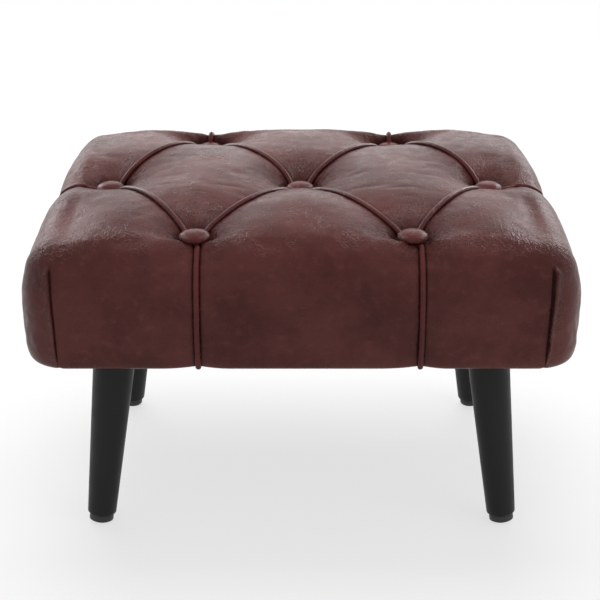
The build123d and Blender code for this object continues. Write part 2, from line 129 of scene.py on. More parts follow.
def normals_of(mesh: Mesh) -> Array:
    """The vertex normals of a mesh."""
    flat = np.zeros(len(mesh.vertices) * 3, np.float32)
    mesh.vertex_normals.foreach_get("vector", flat)
    return flat.reshape(-1, 3).astype(float)


def put_places(mesh: Mesh, places: Array) -> None:
    """Moves the vertices of a mesh to places given in millimetres."""
    mesh.vertices.foreach_set("co", (places * MM).astype(np.float32).ravel())
    mesh.update()


def put_attribute(mesh: Mesh, name: str, values: Array) -> None:
    """Stores a number or a vector for each vertex.

    Args:
        mesh: the mesh.
        name: the attribute's name.
        values: one number or one row a vertex.
    """
    vector = values.ndim > 1
    layer = mesh.attributes.new(name, "FLOAT_VECTOR" if vector else "FLOAT", "POINT")
    layer.data.foreach_set("vector" if vector else "value", values.astype(np.float32).ravel())


def read_attribute(mesh: Mesh, name: str) -> Array:
    """Reads a vector stored for each vertex.

    Args:
        mesh: the mesh.
        name: the attribute's name.

    Returns:
        One vector a row.
    """
    flat = np.zeros(len(mesh.vertices) * 3, np.float32)
    mesh.attributes[name].data.foreach_get("vector", flat)
    return flat.reshape(-1, 3).astype(float)


def settled_mesh(piece: Piece) -> Mesh:
    """A plain mesh of the piece as its modifiers leave it."""
    graph = bpy.context.evaluated_depsgraph_get()
    return bpy.data.meshes.new_from_object(piece.evaluated_get(graph))


def apply_modifiers(piece: Piece) -> None:
    """Puts the modifiers' result in the piece's own mesh and removes them."""
    mesh = settled_mesh(piece)
    piece.modifiers.clear()
    piece.data = mesh


def add_wall(piece: Piece, thickness: float, offset: float) -> None:
    """Gives a sheet a thickness in millimetres, on its inside for an offset of -1.

    Args:
        piece: the sheet.
        thickness: how thick it gets.
        offset: -1 for a wall on its inside.
    """
    wall = piece.modifiers.new("wall", "SOLIDIFY")
    wall.thickness = thickness * MM
    wall.offset = offset
    apply_modifiers(piece)


def lathe(profile: Sequence[Sequence[float]], sides: int) -> tuple[Array, Faces]:
    """Turns a profile round the Z axis, closed at both ends.

    Args:
        profile: (radius, height) places from the lowest to the highest; radius 0 closes an end.
        sides: places round the axis.

    Returns:
        The points and the faces.
    """
    turns = np.arange(sides) * 2 * math.pi / sides
    points, rings = [], []
    for radius, height in profile:
        if radius < TINY:
            rings.append([len(points)] * sides)
            points.append((0.0, 0.0, height))
        else:
            rings.append(list(range(len(points), len(points) + sides)))
            points.extend((radius * math.cos(t), radius * math.sin(t), height) for t in turns)
    faces = []
    for low, high in zip(rings, rings[1:]):
        for i in range(sides):
            j = (i + 1) % sides
            faces.append(list(dict.fromkeys([low[i], low[j], high[j], high[i]])))
    return np.array(points), faces


def closed_grid(outer: Array, inner: Array) -> tuple[Array, Faces]:
    """A closed block between two grids of the same size.

    Args:
        outer: rows x columns x 3 places; rows run upwards, columns anticlockwise seen from above.
        inner: the same for the inside.

    Returns:
        The points and the faces.
    """
    rows, columns = outer.shape[:2]
    points = np.concatenate([outer.reshape(-1, 3), inner.reshape(-1, 3)])
    shift = rows * columns

    def at(row: int, column: int, layer: int) -> int:
        """The number of a grid point."""
        return layer * shift + row * columns + column

    faces = []
    for r in range(rows - 1):
        for c in range(columns - 1):
            faces.append([at(r, c, 0), at(r, c + 1, 0), at(r + 1, c + 1, 0), at(r + 1, c, 0)])
            faces.append([at(r, c, 1), at(r + 1, c, 1), at(r + 1, c + 1, 1), at(r, c + 1, 1)])
    top, end = rows - 1, columns - 1
    for c in range(columns - 1):
        faces.append([at(0, c, 1), at(0, c + 1, 1), at(0, c + 1, 0), at(0, c, 0)])
        faces.append([at(top, c, 0), at(top, c + 1, 0), at(top, c + 1, 1), at(top, c, 1)])
    for r in range(rows - 1):
        faces.append([at(r, 0, 1), at(r, 0, 0), at(r + 1, 0, 0), at(r + 1, 0, 1)])
        faces.append([at(r, end, 0), at(r, end, 1), at(r + 1, end, 1), at(r + 1, end, 0)])
    return points, faces


def smooth_line(knots: Array, steps: int) -> Array:
    """A smooth line through knots.

    Args:
        knots: places, one a row.
        steps: places on each stretch between two knots.

    Returns:
        Places on the line, from the first knot to the last.
    """
    ends = np.vstack([2 * knots[0] - knots[1], knots, 2 * knots[-1] - knots[-2]])
    share = np.linspace(0, 1, steps + 1)[1:, None]
    line = [knots[:1]]
    for before, start, end, after in zip(ends, ends[1:], ends[2:], ends[3:]):
        bend = 2 * before - 5 * start + 4 * end - after
        twist = 3 * start - before - 3 * end + after
        line.append((2 * start + (end - before) * share + bend * share**2 + twist * share**3) / 2)
    return np.vstack(line)


def ripple(places: Array, size: float, seed: float) -> Array:
    """Smooth noise from -1 to 1 at places, with waves of about the given size."""
    shift = Vector((seed, 2 * seed, -seed))
    return np.array([noise.noise(Vector(place) / size + shift) for place in places])


def bell(distance: Array, width: float) -> Array:
    """Fades from 1 at distance 0 to about a third at the width, and on to nothing."""
    return np.exp(-((distance / width) ** 2))


def linear(colour: str) -> tuple[float, float, float, float]:
    """Turns an sRGB hex colour into linear light."""
    shares = [int(colour[i : i + 2], 16) / 255 for i in (1, 3, 5)]
    light = [s / 12.92 if s <= 0.04045 else ((s + 0.055) / 1.055) ** 2.4 for s in shares]
    return (*light, 1.0)


def per_mm(size: float) -> float:
    """The texture scale that gives one cell of the given size in millimetres."""
    return 1 / (size * MM)


def add_node(
    tree: Tree, kind: str, inputs: dict | Sequence = (), output: int | str = 0, **settings
) -> Socket | None:
    """Adds a node with its settings, values and links.

    Args:
        tree: the tree it goes in.
        kind: the node's type.
        inputs: what each socket gets, by name or number: a value, an output socket to link, or a
            list of them; or a sequence with what the first sockets get.
        output: the name or number of the output that is wanted.
        settings: the node's own properties.

    Returns:
        That output, or None where the node has none.
    """
    node = tree.nodes.new(kind)
    for key, value in settings.items():
        setattr(node, key, value)
    given = inputs if isinstance(inputs, dict) else dict(enumerate(inputs))
    for socket, value in given.items():
        for source in value if isinstance(value, list) else [value]:
            if isinstance(source, Socket):
                tree.links.new(source, node.inputs[socket])
            else:
                node.inputs[socket].default_value = source
    return node.outputs[output] if node.outputs else None


def start_material(name: str) -> tuple[Material, Adder, Socket]:
    """Makes an empty node material.

    Args:
        name: the finish's name.

    Returns:
        The material, what adds a node to it, and its Object coordinates.
    """
    material = bpy.data.materials.new(name)
    material.use_nodes = True
    material.node_tree.nodes.clear()
    add = partial(add_node, material.node_tree)
    return material, add, add("ShaderNodeTexCoord", output="Object")


def finish_material(add: Adder, reliefs: Sequence[tuple[Socket, Sequence[float]]], inputs: dict) -> None:
    """Ends a material with its reliefs, one on top of the other, and a Principled shader.

    Args:
        add: adds a node to the material.
        reliefs: each pattern with its depth in millimetres and its strength, the lowest first.
        inputs: the shader's inputs.
    """
    normal = {}
    for height, (depth, strength) in reliefs:
        bump = {"Height": height, "Distance": depth * MM, "Strength": strength, **normal}
        normal = {"Normal": add("ShaderNodeBump", bump)}
    surface = add("ShaderNodeBsdfPrincipled", {**inputs, **normal})
    add("ShaderNodeOutputMaterial", {"Surface": surface})


def start_tree(name: str, sizes: dict[str, str]) -> tuple[Tree, Adder, bpy.types.NodeOutputs]:
    """Makes a Geometry Nodes tree that takes a geometry, some sizes and a finish.

    Args:
        name: the tree's name.
        sizes: the name and type of each size.

    Returns:
        The tree, what adds a node to it, and its inputs by name.
    """
    tree = bpy.data.node_groups.new(name, "GeometryNodeTree")
    tree.interface.new_socket("Geometry", in_out="OUTPUT", socket_type="NodeSocketGeometry")
    for socket, kind in {"Geometry": "Geometry", **sizes, "Finish": "Material"}.items():
        tree.interface.new_socket(socket, in_out="INPUT", socket_type=f"NodeSocket{kind}")
    add = partial(add_node, tree)
    return tree, add, add("NodeGroupInput").node.outputs


def end_tree(add: Adder, geometry: Socket, finish: Socket) -> None:
    """Ends a tree: smooth faces, real geometry instead of instances, and the finish on it.

    Args:
        add: adds a node to the tree.
        geometry: what the tree made.
        finish: its material.
    """
    smooth = add("GeometryNodeSetShadeSmooth", {"Geometry": geometry})
    real = add("GeometryNodeRealizeInstances", {"Geometry": smooth})
    add("NodeGroupOutput", (add("GeometryNodeSetMaterial", {"Geometry": real, "Material": finish}),))


def run_tree(piece: Piece, tree: Tree, values: dict) -> None:
    """Runs a tree on a piece and keeps the mesh that it makes.

    Args:
        piece: the piece whose mesh goes in.
        tree: the tree.
        values: the tree's sizes and finish, by name.
    """
    inputs = [item for item in tree.interface.items_tree if item.in_out == "INPUT"]
    modifier = piece.modifiers.new(tree.name, "NODES")
    modifier.node_group = tree
    for item in inputs:
        if item.name in values:
            modifier[item.identifier] = values[item.name]
    apply_modifiers(piece)


def hand_over(piece: Piece, node: str) -> None:
    """Lets a piece stand for a solid of the frame: hangs it under the whole and hides the solid.

    Args:
        piece: the piece.
        node: the solid's name.
    """
    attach(piece, WHOLE)
    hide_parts(node)


@dataclass(frozen=True)
class OxbloodLeather:
    """Coated split leather: embossed grain under a semi-gloss oxblood finish, creased where pulled.

    Pattern sizes are millimetres, a span is where a noise fades in, and a relief is a depth in
    millimetres and a strength.
    """

    name: str = "oxblood_leather"
    deep: str = "#431e1c"
    body: str = "#532a27"
    rubbed: str = "#6b413c"
    # Pale tint on the crinkle ridges: a painted highlight, partly also the paler wear of a pull-up finish.
    worn_and_glint: str = "#8a6460"
    # Painted shade: the dark tint of seams, pockets, folds, cord undersides and button feet.
    crevice: str = "#241010"
    rubbed_most: float = 0.35
    worn_and_glint_most: float = 0.07
    painted_crevice_shade_most: float = 0.85
    gloss: Pair = (0.26, 0.38)
    gloss_span: Pair = (0.3, 0.7)
    shine_level: float = 0.13
    roughness: float = 0.6
    mottle_size: float = 60.0
    mottle_span: Pair = (0.36, 0.64)
    cloud_size: float = 7.0
    cloud_span: Pair = (0.5, 0.8)
    grain_size: float = 1.3
    grain_relief: Pair = (0.2, 0.3)
    streak_size: float = 2.2
    streak_stretch: Triple = (0.2, 1.0, 1.0)
    streak_relief: Pair = (0.25, 0.5)
    hair_size: float = 8.0
    hair_width: float = 0.012
    hair_patch: float = 20.8
    hair_span: Pair = (0.47, 0.62)
    hair_across: Triple = (0.22, 1.0, 1.0)
    hair_askew: Triple = (1.0, 0.35, 0.8)
    hair_turn: Triple = (0.8, -0.9, 1.1)
    hair_relief: Pair = (0.25, 0.7)
    crinkle_size: float = 4.6
    crinkle_width: float = 0.07
    crinkle_patch: float = 22.0
    crinkle_wear: float = 0.42
    crinkle_span: Pair = (0.64, 0.8)
    crinkle_stretch: Triple = (0.9, 0.55, 0.9)
    crinkle_turn: float = 35.0
    crinkle_relief: Pair = (0.4, 0.9)
    fold_width: float = 0.06
    fold_edge: float = 0.45
    gather_relief: Pair = (1.3, 0.9)
    crease_relief: Pair = (0.5, 0.8)

    def cloudy(self, vector: Socket, size: float, detail: float) -> dict:
        """What a cloudy noise with waves of a size in millimetres reads."""
        return {"Vector": vector, "Scale": per_mm(size), "Detail": detail, "Roughness": self.roughness}

    def ridges(self, add: Adder, wave: Socket, width: float) -> Socket:
        """Thin raised lines where a noise crosses its middle.

        Args:
            add: adds a node to the material.
            wave: the noise.
            width: how far from its middle a line ends.

        Returns:
            1 on a line and 0 away from it.
        """
        off = add("ShaderNodeMath", (wave, 0.5), operation="SUBTRACT")
        off = add("ShaderNodeMath", (off,), operation="ABSOLUTE")
        return add("ShaderNodeMapRange", (off, 0.0, width, 1.0, 0.0), **SMOOTH)

    def pulled(self, add: Adder, share: str, place: str) -> Socket:
        """Fine folds along a direction stored on the cover, as strong as its share says.

        Args:
            add: adds a node to the material.
            share: the attribute that says how strong the folds are.
            place: the attribute whose places they follow.

        Returns:
            The folds' height.
        """
        amount = add("ShaderNodeAttribute", output="Fac", attribute_name=share)
        course = add("ShaderNodeAttribute", output="Vector", attribute_name=place)
        folds = {"Vector": course, "Scale": 1.0, "Detail": 3.0, "Roughness": self.roughness}
        folds = add("ShaderNodeTexNoise", folds)
        edges = self.ridges(add, folds, self.fold_width)
        folds = add("ShaderNodeMath", (edges, self.fold_edge, folds), operation="MULTIPLY_ADD")
        return add("ShaderNodeMath", (folds, amount), operation="MULTIPLY")

    def hairs(self, add: Adder, place: Socket, scale: Sequence[float]) -> Socket:
        """Sparse hair creases along one direction.

        Args:
            add: adds a node to the material.
            place: Object coordinates.
            scale: how they are stretched.

        Returns:
            The creases' height.
        """
        course = add("ShaderNodeMapping", {"Vector": place, "Scale": scale})
        wave = add("ShaderNodeTexNoise", self.cloudy(course, self.hair_size, 3.0))
        patch = add("ShaderNodeTexNoise", self.cloudy(place, self.hair_patch, 2.0))
        sparse = add("ShaderNodeMapRange", (patch, *self.hair_span), **SMOOTH)
        return add("ShaderNodeMath", (self.ridges(add, wave, self.hair_width), sparse), operation="MULTIPLY")

    def crinkles(self, add: Adder, place: Socket) -> Socket:
        """Patches of fine crinkles, more of them where the cover wears over its shoulders.

        Args:
            add: adds a node to the material.
            place: Object coordinates.

        Returns:
            The crinkles' height.
        """
        turn = (0.0, 0.0, math.radians(self.crinkle_turn))
        askew = add("ShaderNodeMapping", {"Vector": place, "Scale": self.crinkle_stretch, "Rotation": turn})
        wave = add("ShaderNodeTexNoise", self.cloudy(askew, self.crinkle_size, 1.5))
        worn_and_glint = add("ShaderNodeAttribute", output="Fac", attribute_name="creased")
        patch = add("ShaderNodeTexNoise", self.cloudy(place, self.crinkle_patch, 2.0))
        patch = add("ShaderNodeMath", (worn_and_glint, self.crinkle_wear, patch), operation="MULTIPLY_ADD")
        patch = add("ShaderNodeMapRange", (patch, *self.crinkle_span), **SMOOTH)
        lines = self.ridges(add, wave, self.crinkle_width)
        return add("ShaderNodeMath", (lines, patch), operation="MULTIPLY")

    def colour(self, add: Adder, place: Socket, cloud: Socket, crinkles: Socket) -> Socket:
        """Mottled dye, rubbed in clouds; paler on the crinkles, a painted highlight that also stands for
        wear; darker where the cover carries painted shade.

        Args:
            add: adds a node to the material.
            place: Object coordinates.
            cloud: where the dye is rubbed.
            crinkles: where it wears, and where the painted highlight goes.

        Returns:
            The colour.
        """
        mottle = add("ShaderNodeTexNoise", self.cloudy(place, self.mottle_size, 4.0))
        mottle = add("ShaderNodeMapRange", (mottle, *self.mottle_span), **SMOOTH)
        rubbed = add("ShaderNodeMapRange", (cloud, *self.cloud_span, 0.0, self.rubbed_most), **SMOOTH)
        # The crinkles' pale tint is a painted highlight and partly wear; the last tint is painted shade.
        worn_and_glint = add("ShaderNodeMath", (crinkles, self.worn_and_glint_most), operation="MULTIPLY")
        crevice = add("ShaderNodeAttribute", output="Fac", attribute_name="creviced")
        crevice = add("ShaderNodeMath", (crevice, self.painted_crevice_shade_most), operation="MULTIPLY")
        tints = ((mottle, self.body), (rubbed, self.rubbed), (worn_and_glint, self.worn_and_glint), (crevice, self.crevice))
        colour = linear(self.deep)
        for share, tint in tints:
            colour = add("ShaderNodeMix", {0: share, 6: colour, 7: linear(tint)}, **COLOURS)
        return colour

    def material(self) -> Material:
        """Builds the leather. The grain is 0.8 mm on the real one and is drawn coarser to show.

        Returns:
            The finish.
        """
        material, add, place = start_material(self.name)
        cloud = add("ShaderNodeTexNoise", self.cloudy(place, self.cloud_size, 5.0))
        crinkles = self.crinkles(add, place)
        cells = {"Vector": place, "Scale": per_mm(self.grain_size)}
        grain = add("ShaderNodeTexVoronoi", cells, output="Distance", feature="SMOOTH_F1")
        pebbles = add("ShaderNodeMath", (1.0, grain), operation="SUBTRACT")
        along = add("ShaderNodeMapping", {"Vector": place, "Scale": self.streak_stretch})
        streaks = add("ShaderNodeTexNoise", self.cloudy(along, self.streak_size, 4.0))
        turned = add("ShaderNodeMapping", {"Vector": place, "Scale": self.hair_turn})
        both = (self.hairs(add, place, self.hair_across), self.hairs(add, turned, self.hair_askew))
        reliefs = (
            (streaks, self.streak_relief),
            (self.pulled(add, "gathered", "gather_place"), self.gather_relief),
            (self.pulled(add, "creased", "crease_place"), self.crease_relief),
            (add("ShaderNodeMath", both, operation="MAXIMUM"), self.hair_relief),
            (crinkles, self.crinkle_relief),
            (pebbles, self.grain_relief),
        )
        finish_material(add, reliefs, {
            "Base Color": self.colour(add, place, cloud, crinkles),
            "Roughness": add("ShaderNodeMapRange", (cloud, *self.gloss_span, *self.gloss), **SMOOTH),
            "IOR": 1.5,
            "Specular IOR Level": self.shine_level,
        })
        return material


@dataclass(frozen=True)
class SatinBlackLacquer:
    """Sprayed satin lacquer on turned beech: near black, soft edges of light, faint pores."""

    body: str = "#151514"
    lifted: str = "#1c1c1b"
    pore_size: float = 0.9
    pore_stretch: Triple = (1.0, 1.0, 0.05)
    pore_relief: Pair = (0.12, 0.35)
    haze_size: float = 14.0
    haze_span: Pair = (0.3, 0.7)
    gloss: Pair = (0.42, 0.52)
    shine_level: float = 0.2

    def material(self) -> Material:
        """Builds the lacquer, its pores drawn along the leg.

        Returns:
            The finish.
        """
        material, add, place = start_material("satin_black_lacquer")
        along = add("ShaderNodeMapping", {"Vector": place, "Scale": self.pore_stretch})
        pores = {"Vector": along, "Scale": per_mm(self.pore_size), "Detail": 3.0}
        haze = {"Vector": place, "Scale": per_mm(self.haze_size), "Detail": 3.0}
        haze = add("ShaderNodeTexNoise", haze)
        colour = {0: haze, 6: linear(self.body), 7: linear(self.lifted)}
        finish_material(add, ((add("ShaderNodeTexNoise", pores), self.pore_relief),), {
            "Base Color": add("ShaderNodeMix", colour, **COLOURS),
            "Roughness": add("ShaderNodeMapRange", (haze, *self.haze_span, *self.gloss), **SMOOTH),
            "IOR": 1.5,
            "Specular IOR Level": self.shine_level,
        })
        return material


@dataclass(frozen=True)
class MouldedNylon:
    """Injection-moulded black nylon: matt, with a fine spark-eroded texture."""

    body: str = "#171717"
    grit: float = 0.6
    grit_span: Pair = (0.3, 0.7)
    grit_relief: Pair = (0.05, 0.4)
    gloss: Pair = (0.45, 0.6)

    def material(self) -> Material:
        """Builds the nylon; the grit is 0.1 mm on the real one and is drawn coarser to show.

        Returns:
            The finish.
        """
        material, add, place = start_material("moulded_nylon")
        grit = {"Vector": place, "Scale": per_mm(self.grit), "Detail": 2.0}
        grit = add("ShaderNodeTexNoise", grit)
        rough = add("ShaderNodeMapRange", (grit, *self.grit_span, *self.gloss), **SMOOTH)
        inputs = {"Base Color": linear(self.body), "Roughness": rough, "IOR": 1.53}
        finish_material(add, ((grit, self.grit_relief),), inputs)
        return material


@dataclass(frozen=True)
class SawnPine:
    """Planed pine: pale earlywood between darker rings, stretched along the board."""

    grain: Grain
    early: str = "#d8b98a"
    late: str = "#b4824c"
    warp_size: float = 22.0
    ring_size: float = 5.0
    ring_span: Pair = (-0.4, 1.0)
    fibre_size: float = 0.9
    fibre_span: tuple[float, float, float, float] = (0.4, 0.8, 0.0, 0.3)
    fibre_relief: Pair = (0.15, 0.4)

    def material(self) -> Material:
        """Builds the pine for boards with the grain one way.

        Returns:
            The finish.
        """
        material, add, place = start_material(f"sawn_pine_{self.grain.name.lower()}")
        along = add("ShaderNodeMapping", {"Vector": place, "Scale": self.grain.value})
        warp = {"Vector": along, "Scale": per_mm(self.warp_size), "Detail": 2.0}
        turns = (add("ShaderNodeTexNoise", warp), 2 * math.pi * self.warp_size / self.ring_size)
        ring = add("ShaderNodeMath", (add("ShaderNodeMath", turns, operation="MULTIPLY"),), operation="SINE")
        ring = add("ShaderNodeMapRange", (ring, *self.ring_span), **SMOOTH)
        fibre = {"Vector": along, "Scale": per_mm(self.fibre_size), "Detail": 2.0}
        fibre = add("ShaderNodeTexNoise", fibre)
        streak = add("ShaderNodeMapRange", (fibre, *self.fibre_span), **SMOOTH)
        colour = add("ShaderNodeMix", {0: ring, 6: linear(self.early), 7: linear(self.late)}, **COLOURS)
        colour = add("ShaderNodeMix", {0: streak, 6: colour, 7: linear(self.late)}, **COLOURS)
        inputs = {"Base Color": colour, "Roughness": 0.65, "IOR": 1.5}
        finish_material(add, ((fibre, self.fibre_relief),), inputs)
        return material


@dataclass(frozen=True)
class BirchPlywood:
    """Birch plywood: a plain pale face, and light and dark plies at its edges."""

    face: str = "#dcc39b"
    dark: str = "#a9804f"
    ply: float = 1.5
    ply_span: Pair = (-0.2, 0.2)
    edge_span: tuple[float, float, float, float] = (0.4, 0.6, 0.75, 0.0)
    fibre_size: float = 1.6
    fibre_span: tuple[float, float, float, float] = (0.4, 0.75, 0.0, 0.4)
    fibre_relief: Pair = (0.1, 0.3)

    def material(self) -> Material:
        """Builds the plywood; plies alternate by height on the edges only.

        Returns:
            The finish.
        """
        material, add, place = start_material("birch_plywood")
        height = add("ShaderNodeSeparateXYZ", (place,), output="Z")
        step = add("ShaderNodeMath", (height, math.pi / (self.ply * MM)), operation="MULTIPLY")
        wave = add("ShaderNodeMath", (step,), operation="SINE")
        facing = add("ShaderNodeNewGeometry", output="Normal")
        upward = add("ShaderNodeSeparateXYZ", (facing,), output="Z")
        upward = add("ShaderNodeMath", (upward,), operation="ABSOLUTE")
        plies = (
            add("ShaderNodeMapRange", (wave, *self.ply_span), **SMOOTH),
            add("ShaderNodeMapRange", (upward, *self.edge_span), **SMOOTH),
        )
        plies = add("ShaderNodeMath", plies, operation="MULTIPLY")
        along = add("ShaderNodeMapping", {"Vector": place, "Scale": Grain.ALONG_WIDTH.value})
        fibre = {"Vector": along, "Scale": per_mm(self.fibre_size), "Detail": 4.0}
        fibre = add("ShaderNodeTexNoise", fibre)
        streak = add("ShaderNodeMapRange", (fibre, *self.fibre_span), **SMOOTH)
        colour = add("ShaderNodeMix", {0: streak, 6: linear(self.face), 7: linear(self.dark)}, **COLOURS)
        colour = add("ShaderNodeMix", {0: plies, 6: colour, 7: linear(self.dark)}, **COLOURS)
        inputs = {"Base Color": colour, "Roughness": 0.6, "IOR": 1.5}
        finish_material(add, ((fibre, self.fibre_relief),), inputs)
        return material


@dataclass(frozen=True)
class SeatFoam:
    """Cut polyurethane foam: open cells, matt, a little yellowed."""

    body: str = "#e3d9b4"
    shade: str = "#c2b283"
    cell: float = 1.6
    cell_span: Pair = (0.1, 0.6)
    cell_relief: Pair = (0.5, 0.6)

    def material(self) -> Material:
        """Builds the foam; its cells are about 1 mm and are drawn a little coarser.

        Returns:
            The finish.
        """
        material, add, place = start_material("seat_foam")
        cells = {"Vector": place, "Scale": per_mm(self.cell)}
        cells = add("ShaderNodeTexVoronoi", cells, output="Distance")
        pits = add("ShaderNodeMapRange", (cells, *self.cell_span), **SMOOTH)
        colour = add("ShaderNodeMix", {0: pits, 6: linear(self.shade), 7: linear(self.body)}, **COLOURS)
        inputs = {"Base Color": colour, "Roughness": 0.95, "IOR": 1.4}
        finish_material(add, ((pits, self.cell_relief),), inputs)
        return material


@dataclass(frozen=True)
class ZincPlatedSteel:
    """Bright zinc on steel: pale blue-grey, with a faint crystalline cloud."""

    body: str = "#b9bec4"
    cloud: str = "#9aa1a8"
    cloud_size: float = 3.0
    cloud_span: Pair = (0.3, 0.7)
    cloud_relief: Pair = (0.03, 0.3)
    gloss: Pair = (0.28, 0.42)

    def material(self) -> Material:
        """Builds the plated steel.

        Returns:
            The finish.
        """
        material, add, place = start_material("zinc_plated_steel")
        cloud = {"Vector": place, "Scale": per_mm(self.cloud_size), "Detail": 4.0}
        cloud = add("ShaderNodeTexNoise", cloud)
        colour = add("ShaderNodeMix", {0: cloud, 6: linear(self.body), 7: linear(self.cloud)}, **COLOURS)
        rough = add("ShaderNodeMapRange", (cloud, *self.cloud_span, *self.gloss), **SMOOTH)
        inputs = {"Base Color": colour, "Metallic": 1.0, "Roughness": rough}
        finish_material(add, ((cloud, self.cloud_relief),), inputs)
        return material


@dataclass(frozen=True)
class WaxedTwine:
    """Twisted waxed polyester: pale strands laid in a steep spiral."""

    strand: str = "#cdbf9f"
    furrow: str = "#8c7c5c"
    pitch: float = 2.4
    waves_a_unit: float = 20.0
    waver: float = 0.6
    relief: Pair = (0.3, 0.7)

    def material(self) -> Material:
        """Builds the twine.

        Returns:
            The finish.
        """
        material, add, place = start_material("waxed_twine")
        bands = {"Vector": place, "Scale": per_mm(self.pitch) / self.waves_a_unit, "Distortion": self.waver}
        twist = add("ShaderNodeTexWave", bands, output="Fac", bands_direction="DIAGONAL")
        colour = add("ShaderNodeMix", {0: twist, 6: linear(self.furrow), 7: linear(self.strand)}, **COLOURS)
        inputs = {"Base Color": colour, "Roughness": 0.7, "IOR": 1.5}
        finish_material(add, ((twist, self.relief),), inputs)
        return material


@dataclass(frozen=True)
class SpunbondDustCloth:
    """Black spunbond cloth: random fibres pressed together at rows of small points."""

    body: str = "#1b1b1c"
    fibre: str = "#343436"
    fibre_size: float = 1.4
    fibre_span: Pair = (0.45, 0.75)
    fibre_relief: Pair = (0.15, 0.5)
    point_pitch: float = 2.5
    point_span: Pair = (0.12, 0.3)
    point_relief: Pair = (0.2, 0.6)

    def material(self) -> Material:
        """Builds the dust cloth.

        Returns:
            The finish.
        """
        material, add, place = start_material("spunbond_dust_cloth")
        fibres = {"Vector": place, "Scale": per_mm(self.fibre_size), "Detail": 6.0, "Roughness": 0.75}
        fibres = add("ShaderNodeTexNoise", fibres)
        shown = add("ShaderNodeMapRange", (fibres, *self.fibre_span), **SMOOTH)
        points = {"Vector": place, "Scale": per_mm(self.point_pitch), "Randomness": 0.0}
        points = add("ShaderNodeTexVoronoi", points, output="Distance")
        points = add("ShaderNodeMapRange", (points, *self.point_span), **SMOOTH)
        colour = add("ShaderNodeMix", {0: shown, 6: linear(self.body), 7: linear(self.fibre)}, **COLOURS)
        inputs = {"Base Color": colour, "Roughness": 0.85, "IOR": 1.45}
        finish_material(add, ((points, self.point_relief), (fibres, self.fibre_relief)), inputs)
        return material


